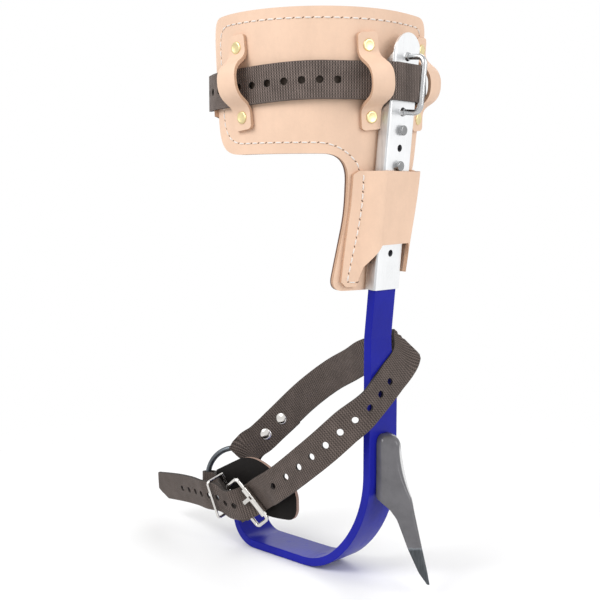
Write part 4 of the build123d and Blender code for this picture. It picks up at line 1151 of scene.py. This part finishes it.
ANKLE_TAIL = np.array(
    [
        (LATERAL + 5.3, -42.0, 38.7),
        (LATERAL - 14.8, -39.7, 36.8),
        (LATERAL - 29.5, -34.9, 35.2),
        (LATERAL - 48.0, -29.4, 32.4),
        (LATERAL - 103.5, -16.0, 22.4),
    ]
)
TAIL_ACROSS = [(0, -0.28, 0.96)] * 4 + [(-0.39, -0.26, 0.88)]
FOLD_CREASE = unit([-0.47, -0.53, 0.70])


def ring_fold(webbing, across):
    """Stations and across directions of the strap's doubled end, down to the ring and round its wire."""
    first, second, third = ANKLE_REAR[:3]
    doubled = np.stack([second + (third - second) * 0.45, second, first])
    doubled_across = across[[2, 1, 0]]
    doubled = doubled + unit(np.cross(doubled_across, third - first)) * (webbing + 0.15)
    fold = RING_WIRE / 2 + SLACK + webbing / 2
    seat = np.sqrt(RING_RADIUS**2 - STRAP_HALF**2) - 2 * SLACK
    turns = ((RING_RADIUS + 1, -1), (seat, -1), (seat - 0.7 * fold, -0.7), (seat - fold, 0))
    turns = turns + tuple((radius, -out) for radius, out in turns[2::-1])
    folded = np.array([at_ring(FOLD_ANGLE, radius, out * fold) for radius, out in turns])
    folded_across = np.tile(unit(ring_tangent(FOLD_ANGLE) * 0.2 + across[0]), (len(turns), 1))
    return np.concatenate([doubled, folded]), np.concatenate([doubled_across, folded_across])


def shank_wrap(webbing):
    """Stations and across directions of the strap's fold behind the shank and its run across the shank's face.

    The fold is a half turn round a crease that sinks a little along it.
    """
    past, over = unit([0.46, 0.54, 0.71]), unit([0.88, -0.28, 0.37])
    turn = np.radians([0, 45, 90, 135, 180])[:, None]
    turning = 3.0 * (np.sin(turn) * past - np.cos(turn) * over) - 4.0 * turn / np.pi * FOLD_CREASE
    turning = turning + [SHANK_INNER + 3.1, SHANK_REAR + 15.8, 167.6]
    off = SHANK_OUTER + webbing / 2 + 3 * SLACK
    down = [
        (off + 1.2, SHANK_REAR + 11.8, 157.3),
        (off + 1.4, SHANK_REAR - 3.8, 144.8),
        (off + 0.9, SHANK_FRONT + 5.0, 133.2),
        (off - 0.6, SHANK_FRONT - 3.4, 125.9),
    ]
    down_across = [(-0.32, -0.58, 0.75), (-0.24, -0.56, 0.79), (-0.14, -0.46, 0.88), (-0.06, -0.34, 0.94)]
    across = np.concatenate([np.tile(FOLD_CREASE, (len(turn), 1)), down_across])
    return np.concatenate([turning, down]), across


def buckle_pull(webbing):
    """Stations and across directions of the strap under the ankle buckle's roller and out over its heel."""
    origin, along, down, out = ankle_frame()
    under, over = buckle_depths(webbing)
    over = over + SLACK
    local = np.array(
        [
            (-14, 1.5, -under + 2),
            (-4, 1, -under),
            (0, 1, -under),
            (3.5, 0.5, -under + 1),
            (8.5, -1.5, 2.6),
            (12.5, -3.5, over),
            (20, -7.5, over),
        ]
    )
    turn = np.radians([0, 0, 0, 0, 4, 12, 28])[:, None]
    return origin + local @ np.stack([along, down, out]), -down * np.cos(turn) - along * np.sin(turn)


def ankle_stations(webbing):
    """Stations of the ankle strap: doubled on the ring, up behind, round the shank, down the front, buckle, tail."""
    rear_across = upright(ANKLE_REAR)
    ring, ring_across = ring_fold(webbing, rear_across)
    rear_across[-1] = unit(rear_across[-1] + FOLD_CREASE)
    wrap, wrap_across = shank_wrap(webbing)
    front_across = upright(ANKLE_FRONT)
    front_across[0] = unit(0.6 * front_across[0] + [0, 0, 0.4])
    buckle, buckle_across = buckle_pull(webbing)
    points = np.concatenate([ring, ANKLE_REAR, wrap, ANKLE_FRONT, buckle, ANKLE_TAIL])
    across = [ring_across, rear_across, wrap_across, front_across, buckle_across, TAIL_ACROSS]
    return points, np.concatenate(across)


def nearest_run(way, point):
    """Distance along a way to the place nearest a point."""
    return way["run"][np.argmin(np.linalg.norm(way["line"] - np.asarray(point), axis=1))]


# The ankle strap's two rows of holes: the first one's place, their number, the first step and how much each step grows
FRONT_HOLES = ((SHANK_OUTER + 3.8, SHANK_REAR - 6.2, 142.9), 10, 12.6, 0.19)
TAIL_HOLES = ((LATERAL + 24.8, -43.7, 36.9), 8, 9.9, 0.27)


def hole_row(way, first, count, pitch, growth):
    """Distances along a way of a row of holes that spread a little as they go."""
    step = np.arange(count)
    return nearest_run(way, first) + pitch * step + growth * step**2


def strap_piece(name, way, flat, faces, thickness, body):
    """A webbing strap laid along a way."""
    points = on_route(way, flat)
    out = on_route(way, flat, np.ones(len(flat))) - points
    piece = add_piece(name, points, faces, out, body, strap_webbing(body), flat)
    thicken(piece, thickness, 0.35, 0.0)
    return piece


class CLIMBER_OT_ankle_strap(Operator):
    """Make the ankle strap with its punched holes, and the short strap that holds its buckle on the ring"""

    bl_idname = "climber.ankle_strap"
    bl_label = "Ankle strap"

    def execute(self, context):
        size = sizes()
        webbing, width = size["webbing"], size["width"]
        way = route(*ankle_stations(webbing))
        holes = np.concatenate([hole_row(way, *row) for row in (FRONT_HOLES, TAIL_HOLES)])

        def tip(w):
            """How far the tail's end is cut back: both corners are cut off, the upper one from nearer the middle."""
            low = np.clip((-w - 4) / (width / 2 - 4), 0, 1)
            high = np.clip((w + 4) / (width / 2 + 4), 0, 1)
            return 0.8 + 12.0 * low + 13.0 * high

        flat, faces = band(way["run"][-1], width, holes, size["hole"] / 2, taper=tip)
        strap = strap_piece("ankle_webbing", way, flat, faces, webbing, "iron_body")
        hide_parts("ankle_strap")
        self.chape(webbing)
        return {"FINISHED"}

    def chape(self, webbing):
        """The chape is one closed way: out from the heel bar to the ring on one face and back on the other.

        Its webbing is thinner than the strap's, which leaves the keeper its play.
        """
        webbing = CHAPE_SHARE * webbing
        origin, along, down, _ = ankle_frame()
        heel = origin + along * BUCKLE_LENGTH
        bend = np.array([LATERAL + 1.0, -30.95, 38.0])
        seat = at_ring(CHAPE_ANGLE, RING_RADIUS - CHAPE_DROP, 0)
        ring_across = -ring_tangent(CHAPE_ANGLE)
        heel_round = BUCKLE_WIRE / 2 + SLACK + webbing / 2
        ring_round = RING_WIRE / 2 + CHAPE_DROP + 2 * SLACK + webbing / 2
        across = unit(np.stack([-down, -down + ring_across, ring_across]))
        run = unit(np.stack([bend - heel, seat - heel, seat - bend]))
        run = unit(run - across * np.sum(run * across, axis=1, keepdims=True))
        face = np.cross(run, across)
        turn = np.radians([-100, -60, -20, 20, 60, 100])[:, None]
        heel_loop = heel + heel_round * (-np.cos(turn) * run[0] + np.sin(turn) * face[0])
        ring_loop = seat + ring_round * (np.cos(turn) * run[2] - np.sin(turn) * face[2])
        half = webbing / 2 + 0.05
        there = [heel + run[0] * 9 + face[0] * half, bend + face[1] * half, seat - run[2] * 11 + face[2] * half]
        back = [seat - run[2] * 11 - face[2] * half, bend - face[1] * half, heel + run[0] * 9 - face[0] * half]
        points = np.concatenate([heel_loop, there, ring_loop, back])
        heel_across, ring_across = (np.tile(across[i], (len(turn), 1)) for i in (0, 2))
        sides = np.concatenate([heel_across, across, ring_across, across[::-1]])
        way = route(np.concatenate([points, points[:1]]), np.concatenate([sides, sides[:1]]))
        total = way["run"][-1]
        flat, faces = band(total, CHAPE_WIDTH, [], 1.0)
        flat[:, 1] *= 1 - 0.56 * smooth(0.2, 0.65, 1 - np.abs(2 * flat[:, 0] / total - 1))
        piece = strap_piece("ankle_chape_webbing", way, flat, faces, webbing, "iron_body")
        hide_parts("ankle_chape")


CALF_BUCKLE_ANGLE = np.radians(150.0)
CALF_HOLES = (-47.1, -190.0)
HUG_START, HUG_SWEEP = 171, 328
STRAP_DROOP = 3.3


def hug_line(webbing):
    """Middle line of the calf strap round the pad and sleeve, as the outline of three corner rounds and the pad's.

    In each direction the outermost of the four circles gives the point, so the strap is straight between them.
    It hangs a little lower in front of the leg.
    """
    high = STRAP_LEVEL + STRAP_HALF
    hug = PAD_ROUND + pad_reach(high) - pad_reach(STRAP_LEVEL) + SLACK
    corner = SLEEVE_WALL + SLACK
    rear_face = PAD_AXIS + pad_reach(high) * np.sqrt(1 - (PAD_REAR_REACH / PAD_REAR_ROUND) ** 2)
    front = sleeve_front(high) - SLEEVE_WALL
    middles = np.array(
        [
            (PAD_AXIS, PAD_MIDDLE),
            (front, PAD_MIDDLE - SLEEVE_WIDTH / 2 + SLEEVE_WALL),
            (front, PAD_MIDDLE + SLEEVE_WIDTH / 2 - SLEEVE_WALL),
            (rear_face, PAD_MIDDLE + PAD_REAR_REACH),
        ]
    )
    radii = np.array([hug, corner, corner, corner]) + webbing / 2
    turn = np.radians(np.linspace(HUG_START, HUG_START + HUG_SWEEP, 900))
    way = np.stack([np.cos(turn), np.sin(turn)], -1)
    best = np.argmax(way @ middles.T + radii, axis=1)
    line = middles[best] + radii[best][:, None] * way
    degrees = np.degrees(turn)
    droop = STRAP_DROOP * smooth(205, 240, degrees) * (1 - smooth(262, 318, degrees))
    return hug + webbing / 2, np.concatenate([line, STRAP_LEVEL - droop[:, None]], axis=1)


class CLIMBER_OT_calf_strap(Operator):
    """Make the calf strap, drawn round the pad and sleeve, folded on its buckle and tucked through the keeper"""

    bl_idname = "climber.calf_strap"
    bl_label = "Calf strap"

    def execute(self, context):
        size = sizes()
        webbing, width = size["webbing"], size["width"]
        radius, line = hug_line(webbing)
        out = np.array([np.cos(CALF_BUCKLE_ANGLE), np.sin(CALF_BUCKLE_ANGLE), 0])
        along = np.array([-np.sin(CALF_BUCKLE_ANGLE), np.cos(CALF_BUCKLE_ANGLE), 0])
        origin = np.array([PAD_AXIS, PAD_MIDDLE, STRAP_LEVEL]) + out * radius

        def beside(run, outward):
            """Point at a distance along the buckle and outward from it."""
            return origin + np.multiply.outer(run, along) + np.multiply.outer(outward, out)

        def round_back(angle, outward):
            """Point at an angle on round the pad past the buckle, and a distance outward."""
            turn = np.radians(angle)
            return beside((radius + outward) * np.sin(turn), (radius + outward) * np.cos(turn) - radius)

        heel_round = BUCKLE_WIRE / 2 + SLACK + webbing / 2
        under, over = buckle_depths(webbing)
        turn = np.radians([205, 170, 120, 70, 20, -30])
        heel = beside(BUCKLE_LENGTH - heel_round * np.sin(turn), heel_round * np.cos(turn) - 0.3)
        hug = resample(line, 190)
        pull = beside(np.array([-6, 0, 3.5, 9, 13, 19.0]), np.array([-under + 1, -under, -under + 1, 2, over, over]))
        tail = round_back(np.array([23, 28, 35, 42, 49.0]), webbing + SLACK)
        points = np.concatenate([heel, hug, pull, tail])
        way = route(points, np.tile([0, 0, 1.0], (len(points), 1)))
        marks = pad_place(np.array([(arc, STRAP_LEVEL) for arc in CALF_HOLES]), -2.5)
        low, high = sorted(nearest_run(way, mark) for mark in marks)
        holes = np.arange(high, low, -size["hole_pitch"])[::-1]

        def tip(w):
            """How far the strap's end is cut back to a round tongue."""
            return 7.0 * np.clip((np.abs(w) - 3) / (width / 2 - 3), 0, 1) ** 2

        flat, faces = band(way["run"][-1], width, holes, size["hole"] / 2, taper=tip)
        strap = strap_piece("calf_webbing", way, flat, faces, webbing, "sleeve_body")
        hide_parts("calf_strap")
        return {"FINISHED"}


# Rivet profiles as shares of a radius and heights: flat cap, domed cap, and the burr with its shank
CAP_DISC = [(0, 0.85), (0.6, 0.85), (0.68, 0.97), (0.86, 1.0), (0.96, 0.7), (1.0, 0.15), (0.97, -0.2), (0, -0.2)]
CAP_DOME = [(0, 1.5), (0.35, 1.4), (0.65, 1.1), (0.88, 0.6), (1.0, 0.1), (0.97, -0.2), (0, -0.2)]
BURR = [(0, 0.9), (0.7, 0.8), (1.0, 0.3), (1.0, -0.4), (0.4, -0.5), (0.4, -8.6), (0, -8.6)]
BRASS_BURR_DEPTH = 6.05
NICKEL_BURR_DEPTH = 3.0

# Run of the ankle strap that its doubled end and the turn on the ring take up
PAST_FOLD = 75.0


class CLIMBER_OT_rivets(Operator):
    """Make the brass rivet caps on the tabs and the nickel ones on the ankle strap"""

    bl_idname = "climber.rivets"
    bl_label = "Rivets"

    def execute(self, context):
        size, colour = sizes(), colours()
        brass = metal_finish("turned_brass", colour["brass"], 0.35, mottling=0.14)
        nickel = bpy.data.materials["bright_nickel"]
        radius = size["rivet"] / 2
        outer, inner = [], []
        for _, angle, _, raised in TAB_PLACES:
            point, _, up, out = tab_frame(angle, raised)
            for side in (-RIVET_SPAN / 2, RIVET_SPAN / 2):
                outer.append((point + up * side + out * (PAD_GAP + size["tab"]), out))
                inner.append((point + up * side - out * BRASS_BURR_DEPTH, -out))
        heads = domes("brass_caps", outer, np.array(CAP_DISC) * [radius, 1.0], "sleeve_body", brass)
        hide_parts("brass_rivets")
        domes("brass_burrs", inner, np.array(BURR) * [3.8, 1.0], "sleeve_body", brass)
        way = route(*ankle_stations(size["webbing"]))
        past_fold = way["run"] > PAST_FOLD
        seats, burrs = [], []
        for i, share in ((0, 0.25), (1, 0.16)):
            spot = ANKLE_REAR[i] * (1 - share) + ANKLE_REAR[i + 1] * share
            near = np.argmin(np.linalg.norm(way["line"][past_fold] - spot, axis=1))
            flat = np.array([[way["run"][past_fold][near], 0.0]])
            point = on_route(way, flat)[0]
            out = on_route(way, flat, np.ones(1))[0] - point
            out = out if out[1] < 0 else -out
            seats.append((point + out * 0.95, out))
            burrs.append((point - out * NICKEL_BURR_DEPTH, -out))
        heads = domes("nickel_caps", seats, np.array(CAP_DOME) * [1.15 * radius, 1.1], "iron_body", nickel)
        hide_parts("ankle_rivets")
        domes("nickel_burrs", burrs, np.array(BURR) * [3.6, 0.45], "iron_body", nickel)
        return {"FINISHED"}


SHIELD_UPPER = rounded([(-23.5, 51.0, 0), (26.5, 75.5, 20), (75.2, 58.0, 9), (76.6, 48.5, 0)])
SHIELD_LOWER = rounded([(-23.5, 47.5, 0), (-18.0, 36.0, 8), (44.0, 28.6, 16), (75.0, 32.0, 8), (76.6, 40.5, 0)])
SHIELD_PLAN = np.polyfit([LATERAL - 13.0, LATERAL + 47.0, LATERAL + 88.0], [-19.5, -27.3, -26.5], 2)
SHIELD_LEVEL = 52.0
SHIELD_BEND = 0.0011
SHIELD_GRID = (121, 9)


class CLIMBER_OT_shield(Operator):
    """Make the dark leather shield behind the ankle buckle"""

    bl_idname = "climber.shield"
    bl_label = "Ankle shield"

    def execute(self, context):
        size, colour = sizes(), colours()
        dark = finish_of("dark_hide", leather_finish, colour["shield"], contrast=1.6, roughness=0.5, gloss=0.08)
        edge = finish_of("dark_hide_edge", leather_finish, colour["shield_edge"], edge=True)
        sides = (resample(line, SHIELD_GRID[0]) for line in (SHIELD_UPPER, SHIELD_LOWER))
        plane = patch(*sides, SHIELD_GRID[1]) + [LATERAL, 0]
        x, z = plane[..., 0], plane[..., 1]
        u, v = x - LATERAL, z - SHIELD_LEVEL
        y = np.polyval(SHIELD_PLAN, x) - size["shield"] / 2 + SHIELD_BEND * v**2
        points = np.stack([x, y, z], -1)
        faces = grid_faces(*SHIELD_GRID)
        flat = np.stack([u, v], -1)
        outward = (0, -1.0, 0)
        piece = add_piece("shield_leather", points, faces, outward, "iron_body", [dark, edge], flat)
        thicken(piece, size["shield"], 0.25)
        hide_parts("ankle_shield")
        return {"FINISHED"}


# Area lamps: name, place, aim, power and size; then the camera's place, turn in degrees, lens and sensor
LAMPS = (
    ("key", (1.3, 0.1, 0.75), (0, 0, 0.2), 9.0, 1.0),
    ("front", (-0.25, -1.3, 1.15), (0, 0, 0.25), 16.0, 0.9),
    ("rim", (-0.7, 1.1, 1.0), (0, 0, 0.22), 6.0, 0.9),
)
CAMERA_PLACE = (0.5059, -0.5571, 0.2730)
CAMERA_TURN = (84.209, 0, 42.881)
CAMERA_LENS = 59.36
CAMERA_SENSOR = 36.0
FLOOR_GAP = 0.0004
FLOOR_FADE = (0.22, 0.6)


class CLIMBER_OT_stage(Operator):
    """Set the pale floor, the soft studio light and the camera"""

    bl_idname = "climber.stage"
    bl_label = "Stage"

    def execute(self, context):
        scene = context.scene
        scene.view_settings.view_transform = "Standard"
        self.floor(colours()["floor"])
        self.world(scene)
        for name, place, aim, power, across in LAMPS:
            lamp = bpy.data.lights.new(name, "AREA")
            lamp.energy = power
            lamp.size = across
            holder = bpy.data.objects.new(name, lamp)
            holder.location = place
            direction = Vector(aim) - Vector(place)
            holder.rotation_euler = direction.to_track_quat("-Z", "Y").to_euler()
            scene.collection.objects.link(holder)
        camera = bpy.data.objects.new("camera", bpy.data.cameras.new("camera"))
        camera.location = CAMERA_PLACE
        camera.rotation_euler = np.radians(CAMERA_TURN)
        camera.data.lens = CAMERA_LENS
        camera.data.sensor_width = CAMERA_SENSOR
        scene.collection.objects.link(camera)
        scene.camera = camera
        return {"FINISHED"}

    def floor(self, colour):
        """Plain pale floor just under the tread, which keeps the shadow and fades into the white round it."""
        mesh = bpy.data.meshes.new("floor")
        low = cad_box[0][2] - FLOOR_GAP
        corners = [(-1, -1, low), (1, -1, low), (1, 1, low), (-1, 1, low)]
        mesh.from_pydata(corners, [], [(0, 1, 2, 3)])
        material, wire, shader = new_material("floor")
        x, y, _ = object_places(wire).axes()
        away = (x**2.0 + y**2.0) ** 0.5
        fixed = {"Base Color": rgba(colour), "Roughness": 0.9, "Specular IOR Level": 0.1}
        feed(wire, shader, fixed, {"Alpha": 1 - away.between(*FLOOR_FADE)})
        mesh.materials.append(material)
        floor = bpy.data.objects.new("floor", mesh)
        bpy.context.scene.collection.objects.link(floor)

    def world(self, scene):
        """Even pale light from all round; what the camera, gloss and glass see of it is white."""
        world = bpy.data.worlds.new("studio")
        world.use_nodes = True
        tree = world.node_tree
        tree.nodes.clear()
        wire = Wire(tree)
        path = wire.make("ShaderNodeLightPath")
        outputs = path.socket.node.outputs
        camera, gloss, glass = (Wire(tree, outputs[f"Is {kind} Ray"]) for kind in ("Camera", "Glossy", "Transmission"))
        seen = wire.math("MAXIMUM", wire.math("MAXIMUM", camera, gloss), glass)
        strength = seen * 0.4 + 0.6
        light = wire.make("ShaderNodeBackground", None, {"Color": (1, 1, 1, 1), "Strength": strength})
        wire.make("ShaderNodeOutputWorld", None, {"Surface": light})
        scene.world = world


STEPS = ("metalwork", "gaff", "calf_pad", "pouch", "tabs", "calf_strap", "ankle_strap", "rivets", "shield", "stage")


class CLIMBER_PT_panel(Panel):
    """Lists the climber's pieces, sizes and colours"""

    bl_idname = "CLIMBER_PT_panel"
    bl_label = "Pole climber"
    bl_space_type = "VIEW_3D"
    bl_region_type = "UI"
    bl_category = "Climber"

    def draw(self, context):
        for step in STEPS:
            self.layout.operator(f"climber.{step}")
        for group, holder in ((ClimberSizes, "climber_sizes"), (ClimberColours, "climber_colours")):
            box = self.layout.box()
            for key in group.__annotations__:
                box.prop(getattr(context.scene, holder), key)


CLASSES = (
    ClimberSizes,
    ClimberColours,
    CLIMBER_OT_metalwork,
    CLIMBER_OT_gaff,
    CLIMBER_OT_calf_pad,
    CLIMBER_OT_pouch,
    CLIMBER_OT_tabs,
    CLIMBER_OT_calf_strap,
    CLIMBER_OT_ankle_strap,
    CLIMBER_OT_rivets,
    CLIMBER_OT_shield,
    CLIMBER_OT_stage,
    CLIMBER_PT_panel,
)


def register():
    """Add the classes and their settings."""
    for each in CLASSES:
        bpy.utils.register_class(each)
    bpy.types.Scene.climber_sizes = PointerProperty(type=ClimberSizes)
    bpy.types.Scene.climber_colours = PointerProperty(type=ClimberColours)


def unregister():
    """Take the classes and their settings away."""
    del bpy.types.Scene.climber_sizes
    del bpy.types.Scene.climber_colours
    for each in reversed(CLASSES):
        bpy.utils.unregister_class(each)


def main():
    """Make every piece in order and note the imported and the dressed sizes."""
    register()
    for step in STEPS:
        getattr(bpy.ops.climber, step)()


if __name__ == "__main__":
    main()
